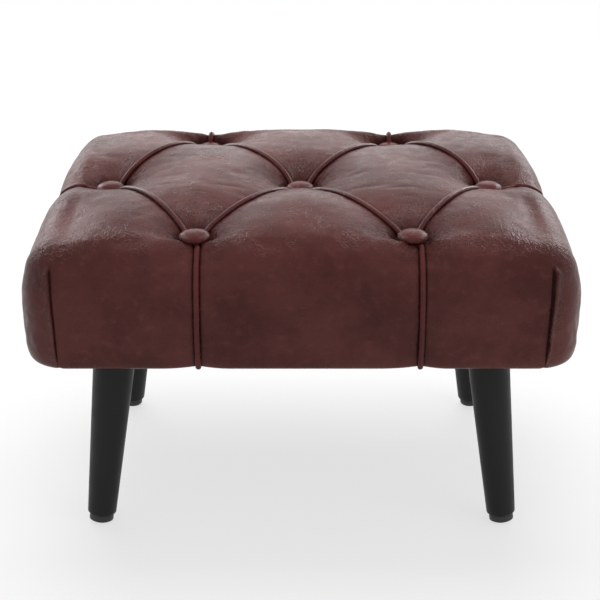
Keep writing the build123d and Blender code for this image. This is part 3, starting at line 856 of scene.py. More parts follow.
@dataclass(frozen=True)
class CushionForm:
    """The tufted body under and in the leather.

    The cover is described unrolled: (a, b) is a place on the leather laid flat from the middle of
    the top, so that beyond the flat core it counts the distance over the edge and down the side.
    """

    core: Pair = (166.0, 116.0)
    crest: float = 256.7
    seat: float = 235.5
    front_button_x: float = 76.0
    side_button_x: float = 148.0
    row_y: float = 112.5
    edge: tuple[Pair, ...] = (
        (0.0, 256.7), (7.0, 255.9), (13.0, 252.9), (18.8, 248.0), (23.6, 241.3), (27.6, 232.7),
        (30.0, 222.5), (31.9, 212.0), (32.8, 201.0), (33.1, 190.0), (33.0, 179.0), (32.7, 168.0),
        (32.0, 158.2), (29.4, 151.9), (21.5, 149.9), (12.0, 150.4), (4.0, 150.9),
    )
    edge_steps: int = 9
    centre_lift: Pair = (13.3, 17.7)
    middle_lift: Pair = (15.8, 20.0)
    lift_power: float = 2.13
    puff_reach: float = 64.8
    puff_power: float = 1.92
    dimple_start: float = 9.0
    dimple_reach: float = 41.0
    dimple_power: float = 1.76
    union_power: float = 12.0
    shoulder_fade: Triple = (32.0, 24.0, 32.0)
    crown_reach: Triple = (75.0, 60.0, 60.0)
    crown_drop: Triple = (9.0, 1.85, 4.2)
    crown_most: Triple = (1.6, 1.0, 1.0)
    crown_corner: Pair = (-8.0, 1.6)
    corner_slope: float = 12.0
    corner_slope_reach: float = 112.0
    corner_fade: float = 85.0
    run: tuple[float, ...] = (
        -10.0, 0.0, 8.0, 16.0, 24.0, 32.0, 40.0, 50.0, 60.0, 75.0, 95.0, 150.0,
    )
    front_depth: tuple[float, ...] = (
        21.2, 21.2, 21.0, 20.1, 18.0, 15.5, 11.9, 7.8, 4.6, 3.7, 3.4, 1.3,
    )
    back_depth: tuple[float, ...] = (21.2, 21.2, 11.0, 5.4, 4.4, 4.0, 4.0, 4.0, 4.0, 3.8, 3.6, 3.5)
    face_reach: tuple[float, ...] = (
        47.0, 45.0, 42.0, 40.0, 38.0, 37.0, 36.0, 33.0, 31.0, 28.0, 25.0, 24.0,
    )
    side_depth: tuple[float, ...] = (21.2, 21.2, 20.0, 18.3, 16.1, 13.6, 10.1, 5.8, 5.6, 5.3, 5.0, 4.3)
    side_reach: tuple[float, ...] = (
        60.0, 60.0, 58.0, 56.0, 54.0, 52.0, 50.0, 46.0, 42.0, 38.0, 34.0, 32.0,
    )
    drifts: tuple[tuple[Pair, Pair, float, Pair], ...] = (
        ((-76.0, -142.0), (-76.0, -270.0), 22.0, (3.0, 0.0)),
        ((76.0, -142.0), (76.0, -270.0), 26.0, (8.0, 0.0)),
        ((-148.0, 0.0), (-148.0, 0.0), 26.0, (-1.6, 0.0)),
        ((0.0, 0.0), (0.0, 0.0), 26.0, (-1.2, 0.0)),
        ((148.0, 0.0), (148.0, 0.0), 26.0, (-1.8, 0.0)),
        ((-76.0, 112.5), (-76.0, 112.5), 26.0, (-3.0, 0.0)),
    )

    def buttons(self) -> dict[str, Pair]:
        """Where each button sits.

        Returns:
            Unrolled places by the button's name.
        """
        x, side, y = self.front_button_x, self.side_button_x, self.row_y
        return {
            "front_left": (-x, -y),
            "front_right": (x, -y),
            "middle_left": (-side, 0.0),
            "centre": (0.0, 0.0),
            "middle_right": (side, 0.0),
            "back_left": (-x, y),
            "back_right": (x, y),
        }

    def diagonals(self) -> list[tuple[str, str]]:
        """The pairs of buttons that a diagonal seam joins.

        Returns:
            Two names a seam.
        """
        return [
            (f"{row}_{side}", other)
            for row in ("front", "back")
            for side in ("left", "right")
            for other in ("centre", f"middle_{side}")
        ]

    def edge_table(self) -> tuple[Array, Array, Array]:
        """The edge's profile: distance over it, (outward, height) places and their direction.

        Returns:
            The three, one place a row.
        """
        level = (-self.edge[1][0], self.edge[0][1])
        line = smooth_line(np.array([level, *self.edge]), self.edge_steps)[self.edge_steps :]
        run = np.r_[0, np.cumsum(np.hypot(*np.diff(line, axis=0).T))]
        return run, line, np.gradient(line, run, axis=0)

    def edge_length(self) -> float:
        """How far the leather runs from the flat core to its hem."""
        return float(self.edge_table()[0][-1])

    def base(self, flat: Array) -> tuple[Array, Array, Array]:
        """The rounded box without its tufting.

        Args:
            flat: unrolled places.

        Returns:
            Places, outward normals, and how far over the edge each one is.
        """
        run, line, course = self.edge_table()
        core = np.clip(flat, -np.array(self.core), np.array(self.core))
        beyond = flat - core
        over = np.hypot(*beyond.T)
        heading = beyond / np.maximum(over, TINY)[:, None]
        out, height = (np.interp(over, run, line[:, i]) for i in (0, 1))
        across, down = (np.interp(over, run, course[:, i]) for i in (0, 1))
        length = np.hypot(across, down)
        places = np.c_[core + heading * out[:, None], height]
        normals = np.c_[heading * (-down / length)[:, None], across / length]
        return places, normals, over

    def seam_share(self, flat: Array, start: Pair, end: Pair) -> tuple[Array, Array]:
        """How far along a straight seam each place is, 0 to 1, and its distance from it.

        Args:
            flat: unrolled places.
            start: where the seam starts.
            end: where it ends.

        Returns:
            The shares and distances.
        """
        start, way = np.array(start), np.subtract(end, start)
        share = np.clip((flat - start) @ way / max(way @ way, TINY), 0, 1)
        return share, np.hypot(*(flat - start - share[:, None] * way).T)

    def past(self, flat: Array, y: float, x: float) -> Array:
        """How far each place is past a line in front, one behind, and one at either side."""
        return np.c_[-flat[:, 1] - y, flat[:, 1] - y, np.abs(flat[:, 0]) - x]

    def puff(self, distance: Array, reach: float | Array) -> Array:
        """How much of a seam's pull is left at a distance from it."""
        return np.clip(1 - distance / reach, 0, 1) ** self.puff_power

    def pull(self, flat: Array) -> Array:
        """How deep the leather is pulled in at unrolled places.

        Args:
            flat: unrolled places.

        Returns:
            A depth for each place.
        """
        most = self.crest - self.seat
        places = self.buttons()
        pulls = []
        past = self.past(flat, self.row_y, self.side_button_x)
        kept = ((1 + np.cos(np.pi * np.clip(past / self.shoulder_fade, 0, 1))) / 2).prod(1)
        for start, end in self.diagonals():
            share, distance = self.seam_share(flat, places[start], places[end])
            lifts = self.centre_lift if end == "centre" else self.middle_lift
            lift = lifts[start.startswith("back")]
            depth = most - lift * (1 - np.abs(2 * share - 1) ** self.lift_power)
            pulls.append(kept * depth * self.puff(distance, self.puff_reach))
        for side in (-1, 1):
            across = flat[:, 0] - side * self.front_button_x
            for way, depths in ((-1, self.front_depth), (1, self.back_depth)):
                run = way * flat[:, 1] - self.row_y
                distance = np.where(run > 0, np.abs(across), np.hypot(run, across))
                reach = np.interp(run, self.run, self.face_reach)
                pulls.append(np.interp(run, self.run, depths) * self.puff(distance, reach))
            run = side * flat[:, 0] - self.side_button_x
            distance = np.where(run > 0, np.abs(flat[:, 1]), np.hypot(run, flat[:, 1]))
            reach = np.interp(run, self.run, self.side_reach)
            pulls.append(np.interp(run, self.run, self.side_depth) * self.puff(distance, reach))
        for place in places.values():
            beyond = np.clip(np.hypot(*(flat - place).T) - self.dimple_start, 0, None)
            pulls.append(kept * most * np.clip(1 - beyond / self.dimple_reach, 0, 1) ** self.dimple_power)
        power = self.union_power
        return np.minimum((np.array(pulls) ** power).sum(0) ** (1 / power), most)

    def surface(self, flat: Array, inset: float = 0.0) -> tuple[Array, Array]:
        """The tufted surface.

        Args:
            flat: unrolled places.
            inset: how far inside the leather's outside it lies.

        Returns:
            Places and the base normals.
        """
        places, normals, over = self.base(flat)
        most = self.crest - self.seat
        depth = self.pull(flat)
        past = self.past(flat, self.core[1], self.core[0])
        rolled = np.clip(past / self.crown_reach + 1, 0, self.crown_most) ** 2
        crown = rolled @ self.crown_drop
        crown += rolled[:, 2] * (rolled[:, :2] @ self.crown_corner)
        ahead = np.clip(-flat[:, 1] / self.corner_slope_reach, 0, 1)
        crown += self.corner_slope * rolled[:, 2] * ahead**2 * (3 - 2 * ahead)
        places = places - normals * (depth + inset)[:, None]
        upward = np.clip(normals[:, 2], 0, 1)
        cornered = rolled[:, 2] * np.minimum(rolled[:, :2].sum(1), 1)
        lasting = np.maximum(upward, np.clip(1 - over / self.corner_fade, 0, 1))
        crown *= upward + (lasting - upward) * cornered
        places[:, 2] -= crown * (1 - depth / most)
        for start, end, reach, shift in self.drifts:
            distance = self.seam_share(flat, start, end)[1]
            places[:, :2] += bell(distance, reach)[:, None] * shift
        return places, normals


@dataclass
class Cover:
    """The leather: eight panels, parted along the piped seams and folded at the corners."""

    form: CushionForm
    finish: Material
    spacing: float = 3.7
    leather: float = 1.2
    pleat_offsets: tuple[float, ...] = (-4.2, -2.4, -1.2, -0.4, 0.4, 1.2, 2.4, 4.2)
    pleat_top: Pair = (11.0, 31.0)
    pleat_foot: Pair = (22.0, 118.0)
    lips: Pair = (1.7, 3.0)
    fold_lip: tuple[float, ...] = (0.0, 0.0, 0.0, 0.0, 0.85, 0.97, 0.89, 0.7)
    fold_slit: tuple[float, ...] = (0.0, -0.15, -0.7, -1.5, -0.6, -0.1, 0.0, 0.0)
    # How dark the painted shade is across the left fold, then the right fold, at each pleat offset.
    fold_painted_shade: tuple[tuple[float, ...], tuple[float, ...]] = (
        (0.0, 0.0, 0.6, 1.0, 0.4, 0.0, 0.0, 0.0), (0.0, 0.3, 1.0, 1.0, 0.7, 0.1, 0.0, 0.0)
    )
    lip_reach: float = 7.0
    fold_near: float = 40.0
    fold_start: float = 6.0
    fold_worn: Pair = (9.0, 12.0)
    button_rings: tuple[float, ...] = (3.2, 6.4, 9.4, 11.4, 13.6, 16.2)
    ring_spacing: float = 2.6
    # How many spacings stay clear of loose places round a button, a seam and a fold.
    clear: Triple = (0.6, 0.55, 0.5)
    merge: float = 1e-3
    # What holds still while the cover settles: places this near a seam, a fold or the hem.
    held: Triple = (0.1, 1.3, 34.0)
    cloth: tuple[tuple[str, float], ...] = (
        ("quality", 6), ("mass", 0.3), ("tension_stiffness", 18), ("compression_stiffness", 18),
        ("shear_stiffness", 8), ("bending_stiffness", 0.25), ("shrink_min", -0.02),
        ("uniform_pressure_force", 4),
    )
    settle_frames: int = 20
    settle_cap: float = 0.4
    settle_keep: float = 0.3
    evening_rounds: int = 24
    # Height, size and seed of the unevenness; then the gathers, pockets, grooves and creases, with the
    # painted shade of the pockets and grooves.
    unevenness: tuple[Triple, ...] = ((0.45, 34.0, 3.1), (0.22, 13.0, 5.7))
    gather_height: float = 0.85
    gather_start: float = 9.0
    gather_rise: float = 4.0
    gather_fade: float = 17.0
    gather_end: float = 70.0
    gather_size: float = 9.0
    gather_reach: float = 30.0
    gather_turn: Pair = (30.0, 0.22)
    fine_turn: Pair = (16.0, 0.16)
    pocket: Triple = (1.6, 12.0, 3.4)
    # How far from a button's middle the painted shade round it stays full, and how fast it fades.
    pocket_painted_shade: Pair = (11.2, 1.9)
    groove: Pair = (1.1, 4.5)
    # How far from the seam the painted shade beside the piping stays full, and how fast it fades.
    groove_painted_shade: Pair = (1.5, 1.6)
    shoulder: Pair = (16.0, 17.0)
    corner_reach: Pair = (40.0, 60.0)
    wear: Triple = (0.45, 0.7, 0.5)
    crease_pitch: Triple = (2.6, 14.0, 30.0)
    tuck_height: float = 0.3
    tuck_least: float = 0.05
    tuck_scale: float = 2.2
    tuck_size: float = 2.4
    hem_flat: float = 30.0
    hem_rise: float = 12.0

    def seams(self) -> dict[str, Array]:
        """The unrolled ends of each piped seam, by the name of its piping.

        Returns:
            Two places a seam.
        """
        form = self.form
        spots = form.buttons()
        lines = {f"piping_{a}_to_{b}": np.array([spots[a], spots[b]]) for a, b in form.diagonals()}
        end_y = form.core[1] + form.edge_length()
        end_x = form.core[0] + form.edge_length()
        for corner, (side, way) in CORNERS.items():
            x = side * form.front_button_x
            lines[f"piping_{corner}_face"] = np.array([(x, way * form.row_y), (x, way * end_y)])
        for name, side in (("left", -1), ("right", 1)):
            lines[f"piping_{name}_side"] = np.array([(side * form.side_button_x, 0.0), (side * end_x, 0.0)])
        return lines

    def pleats(self) -> list[Array]:
        """The unrolled line of each corner's fold, from its top to the hem.

        Returns:
            Two places a fold.
        """
        core = np.array(self.form.core)
        return [
            (core + np.array([self.pleat_top, self.pleat_foot])) * np.array(turn)
            for turn in CORNERS.values()
        ]

    def divided(self, line: Array, gap: float) -> Array:
        """Places along a straight line, about one gap apart."""
        count = max(int(np.hypot(*(line[1] - line[0])) / gap), 2)
        return line[0] + np.linspace(0, 1, count + 1)[:, None] * (line[1] - line[0])

    def loose_points(self) -> Array:
        """Evenly spread unrolled places, from the top over every edge to the hem.

        Returns:
            The places, one a row.
        """
        core_x, core_y = self.form.core
        gap = self.spacing
        points = []
        rows = np.arange(-core_y, core_y + gap / 2, gap * math.sqrt(3) / 2)
        for i, y in enumerate(rows):
            points.extend((x, y) for x in np.arange(-core_x + (i % 2) * gap / 2, core_x + 0.01, gap))
        length = self.form.edge_length()
        overs = np.linspace(0, length, int(length / gap) + 1)[1:]
        for i, over in enumerate(overs):
            shift = (i % 2) * gap / 2
            for way in (-1, 1):
                points.extend((x, way * (core_y + over)) for x in np.arange(-core_x + shift, core_x, gap))
                points.extend((way * (core_x + over), y) for y in np.arange(-core_y + shift, core_y, gap))
            count = 4 if over < 2 * gap else 8 if over < 4 * gap else 16
            for turn in np.linspace(0, math.pi / 2, count + 1):
                for side, way in CORNERS.values():
                    x = side * (core_x + over * math.sin(turn))
                    points.append((x, way * (core_y + over * math.cos(turn))))
        return np.array(points)

    def laid_out(self) -> tuple[Array, list, set]:
        """The cover laid flat as triangles.

        Returns:
            Unrolled places, faces, and the edges that lie on a seam or fold, as vertex pairs.
        """
        fixed, edges = [], []
        for line in self.seams().values():
            run = self.divided(line, self.spacing)
            edges.extend((len(fixed) + i, len(fixed) + i + 1) for i in range(len(run) - 1))
            fixed.extend(run)
        for spot in self.form.buttons().values():
            for radius in self.button_rings:
                turns = np.arange(int(2 * math.pi * radius / self.ring_spacing)) + 0.5
                turns = turns * 2 * math.pi / len(turns)
                fixed.extend(np.c_[np.cos(turns), np.sin(turns)] * radius + spot)
        rails = []
        for line in self.pleats():
            way = (line[1] - line[0]) / np.hypot(*(line[1] - line[0]))
            side = np.array([way[1], -way[0]])
            for offset in self.pleat_offsets:
                rails.extend(self.divided(line + side * offset, self.spacing / 2))
        loose = self.loose_points()
        keep = np.ones(len(loose), bool)
        by_button, by_seam, by_pleat = (share * self.spacing for share in self.clear)
        for spot in self.form.buttons().values():
            keep &= np.hypot(*(loose - spot).T) > self.button_rings[-1] + by_button
        for line in self.seams().values():
            keep &= self.form.seam_share(loose, *line)[1] > by_seam
        for line in self.pleats():
            keep &= self.form.seam_share(loose, *line)[1] > self.pleat_offsets[-1] + by_pleat
        points = np.vstack([fixed, rails, loose[keep]])
        made = delaunay_2d_cdt([Vector(p) for p in points.tolist()], edges, [], 0, self.merge)
        flat = np.array([tuple(p) for p in made[0]])
        seamed = {tuple(sorted(edge)) for edge, origin in zip(made[1], made[4]) if origin}
        return flat, [list(f) for f in made[2]], seamed

    def held_places(self, flat: Array, over: Array) -> Array:
        """Which places the seams, buttons, folds and hem hold fast.

        Args:
            flat: unrolled places.
            over: how far over the edge each one is.

        Returns:
            Whether each place is held.
        """
        by_seam, by_pleat, by_hem = self.held
        held = over > self.form.edge_length() - by_hem
        for spot in self.form.buttons().values():
            held |= np.hypot(*(flat - spot).T) < self.button_rings[2] + by_seam
        for line in self.seams().values():
            held |= self.form.seam_share(flat, *line)[1] < by_seam
        for line in self.pleats():
            held |= self.form.seam_share(flat, *line)[1] < by_pleat
        return held

    def settle(self, cloth_piece: Piece, held: Array, edges: Array) -> None:
        """Lets the leather wrinkle between its seams under the foam's pressure.

        Args:
            cloth_piece: the whole cover.
            held: which vertices stay.
            edges: vertex pairs, for evening out the swelling.
        """
        start = places_of(cloth_piece.data)
        group = cloth_piece.vertex_groups.new(name="held")
        group.add(np.flatnonzero(held).tolist(), 1.0, "REPLACE")
        cloth = cloth_piece.modifiers.new("cloth", "CLOTH")
        cloth.settings.effector_weights.gravity = 0
        cloth.settings.use_pressure = True
        cloth.settings.vertex_group_mass = "held"
        for name, value in self.cloth:
            setattr(cloth.settings, name, value)
        cloth.collision_settings.use_collision = False
        cloth.point_cache.frame_end = self.settle_frames
        for step in range(1, self.settle_frames + 1):
            bpy.context.scene.frame_set(step)
        moved = places_of(settled_mesh(cloth_piece)) - start
        cloth_piece.modifiers.remove(cloth)
        bpy.context.scene.frame_set(1)
        degree = np.bincount(edges.ravel(), minlength=len(start))[:, None]
        even = moved.copy()
        for _ in range(self.evening_rounds):
            total = np.zeros_like(even)
            np.add.at(total, edges[:, 0], even[edges[:, 1]])
            np.add.at(total, edges[:, 1], even[edges[:, 0]])
            even = (even + total / np.maximum(degree, 1)) / 2
            even[held] = 0
        moved = moved - even * (1 - self.settle_keep)
        size = np.linalg.norm(moved, axis=1, keepdims=True)
        LOG.info("cover settled: largest move %.2f mm, mean %.2f mm", size.max(), size.mean())
        put_places(cloth_piece.data, start + moved * self.settle_cap / (self.settle_cap + size))

    def fold_profile(self, across: Array, full: float) -> Array:
        """Height of the leather across a corner fold, straight between its rows of vertices.

        Args:
            across: distance outboard of the fold.
            full: how far the overlapping layer, outboard of the fold, stands up.

        Returns:
            The heights.
        """
        heights = full * np.array(self.fold_lip) + np.array(self.fold_slit)
        near = np.interp(across, self.pleat_offsets, heights)
        far = full * bell(across, self.lip_reach) * (across > 0)
        return np.where(np.abs(across) < self.pleat_offsets[-1], near, far)

    def gathers(self, flat: Array) -> tuple[Array, dict[str, Array]]:
        """The gathers and the pocket round each button.

        Args:
            flat: unrolled places.

        Returns:
            Their heights, the painted shade in their pockets, and how strong and where the fine gathers are.
        """
        height, gathered, creviced = np.zeros((3, len(flat)))
        course = np.zeros((len(flat), 3))
        nearest = np.full(len(flat), np.inf)
        for number, spot in enumerate(self.form.buttons().values()):
            radius = np.hypot(*(flat - spot).T)
            way = (flat - spot) / np.maximum(radius, TINY)[:, None]
            rise = np.clip((radius - self.gather_start) / self.gather_rise, 0, 1)
            fade = bell(np.maximum(radius - self.gather_start - self.gather_rise, 0), self.gather_fade) * rise
            around = np.c_[way * self.gather_turn[0], radius * self.gather_turn[1] + 40 * number]
            near = radius < self.gather_end
            wave = np.zeros(len(flat))
            wave[near] = ripple(around[near], self.gather_size, 1.3 + number)
            depth, middle, width = self.pocket
            height += self.gather_height * fade * wave - depth * bell(radius - middle, width)
            # Painted shade in the pocket round the button.
            dark = bell(np.maximum(radius - self.pocket_painted_shade[0], 0), self.pocket_painted_shade[1])
            creviced = np.maximum(creviced, dark)
            closer = radius < nearest
            gathered = np.where(closer, bell(radius, self.gather_reach), gathered)
            fine = np.c_[way * self.fine_turn[0], radius * self.fine_turn[1] + 9 * number]
            course[closer] = fine[closer]
            nearest = np.minimum(nearest, radius)
        return height, {"creviced": creviced, "gathered": gathered, "gather_place": course}

    def grooves(self, flat: Array) -> tuple[Array, Array]:
        """How deep the leather dips along its seams, and the shade painted there.

        Args:
            flat: unrolled places.

        Returns:
            The depths and the shares of painted shade.
        """
        depth, creviced = np.zeros((2, len(flat)))
        for line in self.seams().values():
            distance = self.form.seam_share(flat, *line)[1]
            depth += self.groove[0] * np.clip(1 - distance / self.groove[1], 0, 1) ** 2
            # Painted shade beside the piping.
            dark = bell(np.maximum(distance - self.groove_painted_shade[0], 0), self.groove_painted_shade[1])
            creviced = np.maximum(creviced, dark)
        return depth, creviced

    def folds(self, flat: Array) -> tuple[Array, Array, Array]:
        """The folded corners: their heights, the painted shade in each slit, and where the leather by the
        fold wears.

        Args:
            flat: unrolled places.

        Returns:
            The three, one number a place.
        """
        height, creviced, folded = np.zeros((3, len(flat)))
        for line, (turn, _) in zip(self.pleats(), CORNERS.values()):
            way = (line[1] - line[0]) / np.hypot(*(line[1] - line[0]))
            side = np.array([way[1], -way[0]])
            side *= np.sign(side[0] * turn)
            along = (flat - line[0]) @ way
            across = (flat - line[0]) @ side
            near = np.abs(across) < self.fold_near
            fade = np.clip(along / self.fold_start, 0, 1) * near
            right = int(turn > 0)
            height += fade * self.fold_profile(across, self.lips[right])
            # Painted shade in the fold's slit.
            dark = fade * np.interp(across, self.pleat_offsets, self.fold_painted_shade[right])
            creviced = np.maximum(creviced, dark)
            worn_and_glint = bell(across - self.fold_worn[0], self.fold_worn[1]) * np.clip(along / 10 + 0.8, 0, 1)
            folded = np.maximum(folded, worn_and_glint * near)
        return height, creviced, folded

    def creases(self, flat: Array, over: Array, folded: Array, height: Array) -> tuple[Array, Array]:
        """How creased the leather is over its edges and corners, and where the creases run.

        Args:
            flat: unrolled places.
            over: how far over the edge each one is.
            folded: how near it is to a corner's fold.
            height: how high it is.

        Returns:
            The share and the places that the creases' noise reads.
        """
        core = np.array(self.form.core)
        corner = np.clip((np.abs(flat) - core + self.corner_reach[0]) / self.corner_reach[1], 0, 1).prod(1)
        shoulder = bell(over - self.shoulder[0], self.shoulder[1])
        edge_worn, corner_worn, fold_worn = self.wear
        creased = np.clip(shoulder * (edge_worn + corner_worn * corner) + fold_worn * folded, 0, 1)
        beyond = np.abs(flat) - core
        along_edge = np.where(beyond[:, 1] > beyond[:, 0], flat[:, 0], flat[:, 1])
        return creased, np.c_[along_edge, over, height] / self.crease_pitch

    def worked(self, places: Array, normals: Array, flat: Array) -> tuple[Array, dict]:
        """Adds the gathers, folds and unevenness of hand upholstery.

        Args:
            places: the vertices.
            normals: their normals.
            flat: their unrolled places.

        Returns:
            The new places, and the attributes that the leather reads.
        """
        over = self.form.base(flat)[2]
        free = np.clip((self.form.edge_length() - self.hem_flat - over) / self.hem_rise, 0, 1)
        height = sum(rise * ripple(places, size, seed) for rise, size, seed in self.unevenness)
        gathers, attributes = self.gathers(flat)
        grooves, painted_shade_of_grooves = self.grooves(flat)
        folds, painted_shade_of_folds, folded = self.folds(flat)
        creased, crease_place = self.creases(flat, over, folded, places[:, 2])
        tuck = np.zeros(len(places))
        close = creased > self.tuck_least
        tuck[close] = ripple(crease_place[close] * self.tuck_scale, self.tuck_size, 8.8)
        height = height + gathers - grooves + folds + self.tuck_height * creased * tuck
        # The painted shade of the pockets, grooves and folds, whichever is darkest.
        attributes["creviced"] = np.max([attributes["creviced"], painted_shade_of_grooves, painted_shade_of_folds], axis=0)
        attributes |= {"creased": creased, "crease_place": crease_place}
        return places + normals * (height * free)[:, None], attributes

    def panel_of(self, flat: Array) -> Array:
        """The name of the panel at each unrolled place.

        Args:
            flat: unrolled places.

        Returns:
            One name a place.
        """
        form = self.form
        x, y = np.abs(flat).T
        share = np.clip(y / form.row_y, 0, 1)
        inner = form.front_button_x * share
        outer = form.side_button_x - (form.side_button_x - form.front_button_x) * share
        side = np.where(flat[:, 0] < 0, "left", "right")
        way = np.where(flat[:, 1] < 0, "front", "back")
        corner = np.char.add(np.char.add(np.char.add("corner_", way), "_"), side)
        names = np.where(x < outer, np.char.add("diamond_", side), corner)
        return np.where(x < inner, way, names)

    def whole(self) -> Piece:
        """Lays out the whole cover over the form, settles it and subdivides it.

        Returns:
            The cover in one piece.
        """
        flat, faces, seamed = self.laid_out()
        whole = new_piece("cover_whole", self.form.surface(flat)[0], faces)
        mesh = whole.data
        put_attribute(mesh, "flat", np.c_[flat, np.zeros(len(flat))])
        edges = np.zeros(len(mesh.edges) * 2, np.int32)
        mesh.edges.foreach_get("vertices", edges)
        edges = edges.reshape(-1, 2)
        self.settle(whole, self.held_places(flat, self.form.base(flat)[2]), edges)
        sharp = np.array([tuple(sorted(map(int, edge))) in seamed for edge in edges], np.float32)
        mesh.attributes.new("crease_edge", "FLOAT", "EDGE").data.foreach_set("value", sharp)
        smoother = whole.modifiers.new("smoother", "SUBSURF")
        smoother.levels = smoother.render_levels = 1
        apply_modifiers(whole)
        return whole

    def panel(self, name: str, places: Array, quads: Array, attributes: dict) -> Piece:
        """Cuts one panel out of the cover and gives it the leather's thickness.

        Args:
            name: the panel's name.
            places: the cover's vertices.
            quads: the panel's faces.
            attributes: what the leather reads at each vertex.

        Returns:
            The panel.
        """
        used, inverse = np.unique(quads, return_inverse=True)
        panel = new_piece(f"leather_{name}", places[used], inverse.reshape(-1, 4))
        for key, values in attributes.items():
            put_attribute(panel.data, key, values[used])
        panel.data.materials.append(self.finish)
        add_wall(panel, self.leather, -1)
        hand_over(panel, f"cover_{name}")
        LOG.info("%s: %d faces", panel.name, len(panel.data.polygons))
        return panel

    def build(self) -> list[Piece]:
        """Lays out, settles, works and parts the cover.

        Returns:
            The eight panels.
        """
        whole = self.whole()
        mesh = whole.data
        flat = read_attribute(mesh, "flat")[:, :2]
        places, attributes = self.worked(places_of(mesh), normals_of(mesh), flat)
        corners = np.zeros(len(mesh.loops), np.int32)
        mesh.loops.foreach_get("vertex_index", corners)
        quads = corners.reshape(-1, 4)
        names = self.panel_of(flat[quads].mean(1))
        panels = [self.panel(name, places, quads[names == name], attributes) for name in np.unique(names)]
        bpy.data.objects.remove(whole)
        return panels


@dataclass
class Piping:
    """Leather-covered cord sewn into every seam, swept along its path with rounded ends."""

    form: CushionForm
    cover: Cover
    finish: Material
    radius: float = 2.15
    sides: int = 14
    stand: float = 0.9
    button_gap: float = 9.6
    hem_left: float = 27.0
    step: float = 2.0
    wander: Pair = (0.35, 38.0)
    fullness: Pair = (0.04, 9.0)
    tip_turns: tuple[float, ...] = (5.0, 25.0, 45.0, 65.0, 82.0)
    # Painted shade on the cord's lower side: its share at the middle, and how fast it grows below.
    shade: Pair = (0.35, 1.6)

    def tree(self) -> Tree:
        """Nodes that sweep a round strip along a line of edges.

        Returns:
            The tree.
        """
        tree, add, given = start_tree("piping_strip", {"Radius": "Float", "Sides": "Int"})
        line = add("GeometryNodeMeshToCurve", {"Mesh": given["Geometry"]})
        swell = add("GeometryNodeInputNamedAttribute", {"Name": "swell"}, data_type="FLOAT")
        size = add("ShaderNodeMath", (swell, given["Radius"]), operation="MULTIPLY")
        ring = add("GeometryNodeCurvePrimitiveCircle", {"Resolution": given["Sides"], "Radius": 1.0})
        strip = {"Curve": line, "Profile Curve": ring, "Scale": size, "Fill Caps": True}
        end_tree(add, add("GeometryNodeCurveToMesh", strip), given["Finish"])
        return tree

    def route(self, line: Array, number: int) -> tuple[Array, Array, Array]:
        """The middle of a strip.

        Args:
            line: the seam's unrolled ends.
            number: which seam it is, for its own small wander.

        Returns:
            Places along the strip, how full it is at each of them, and which way is out.
        """
        length = np.hypot(*(line[1] - line[0]))
        way = (line[1] - line[0]) / length
        spots = np.array(list(self.form.buttons().values()))
        at_button = np.hypot(*(spots - line[1]).T).min() < 1
        end = length - (self.button_gap if at_button else self.hem_left)
        runs = np.linspace(self.button_gap, end, int((end - self.button_gap) / self.step))
        flat = line[0] + runs[:, None] * way
        places, normals = self.form.surface(flat)
        along = np.c_[runs, runs * 0, runs * 0]
        wander = self.wander[0] * ripple(along, self.wander[1], 11.0 + number)
        across = np.cross(normals, np.gradient(places, axis=0))
        across /= np.linalg.norm(across, axis=1, keepdims=True)
        places = places + normals * self.stand + across * wander[:, None]
        full = 1 + self.fullness[0] * ripple(along, self.fullness[1], 31.0 + number)
        turns = np.radians(self.tip_turns)
        tips = []
        for place, course in ((places[0], places[0] - places[1]), (places[-1], places[-1] - places[-2])):
            course = course / np.linalg.norm(course)
            tips.append(place + course * np.sin(turns)[:, None] * self.radius)
        places = np.vstack([tips[0][::-1], places, tips[1]])
        full = np.concatenate([np.cos(turns)[::-1] * full[0], full, np.cos(turns) * full[-1]])
        outward = np.vstack([normals[:1].repeat(len(turns), 0), normals, normals[-1:].repeat(len(turns), 0)])
        return places, full, outward

    def build(self) -> list[Piece]:
        """Makes the fourteen strips.

        Returns:
            The strips.
        """
        tree = self.tree()
        sizes = {"Radius": self.radius * MM, "Sides": self.sides, "Finish": self.finish}
        strips = []
        for number, (name, line) in enumerate(self.cover.seams().items()):
            places, full, outward = self.route(line, number)
            mesh = bpy.data.meshes.new(f"{name}_line")
            joins = [(i, i + 1) for i in range(len(places) - 1)]
            mesh.from_pydata((places * MM).tolist(), joins, [])
            put_attribute(mesh, "swell", full)
            strip = bpy.data.objects.new(f"{name}_cord", mesh)
            bpy.context.scene.collection.objects.link(strip)
            run_tree(strip, tree, sizes)
            around = places_of(strip.data)
            nearest = np.linalg.norm(around[:, None] - places[None], axis=2).argmin(1)
            height = ((around - places[nearest]) * outward[nearest]).sum(1) / self.radius
            # Painted shade on the lower side of the cord, where it meets the leather.
            put_attribute(strip.data, "creviced", np.clip(self.shade[0] - height * self.shade[1], 0, 1))
            hand_over(strip, name)
            strips.append(strip)
        LOG.info("piping: %d strips", len(strips))
        return strips


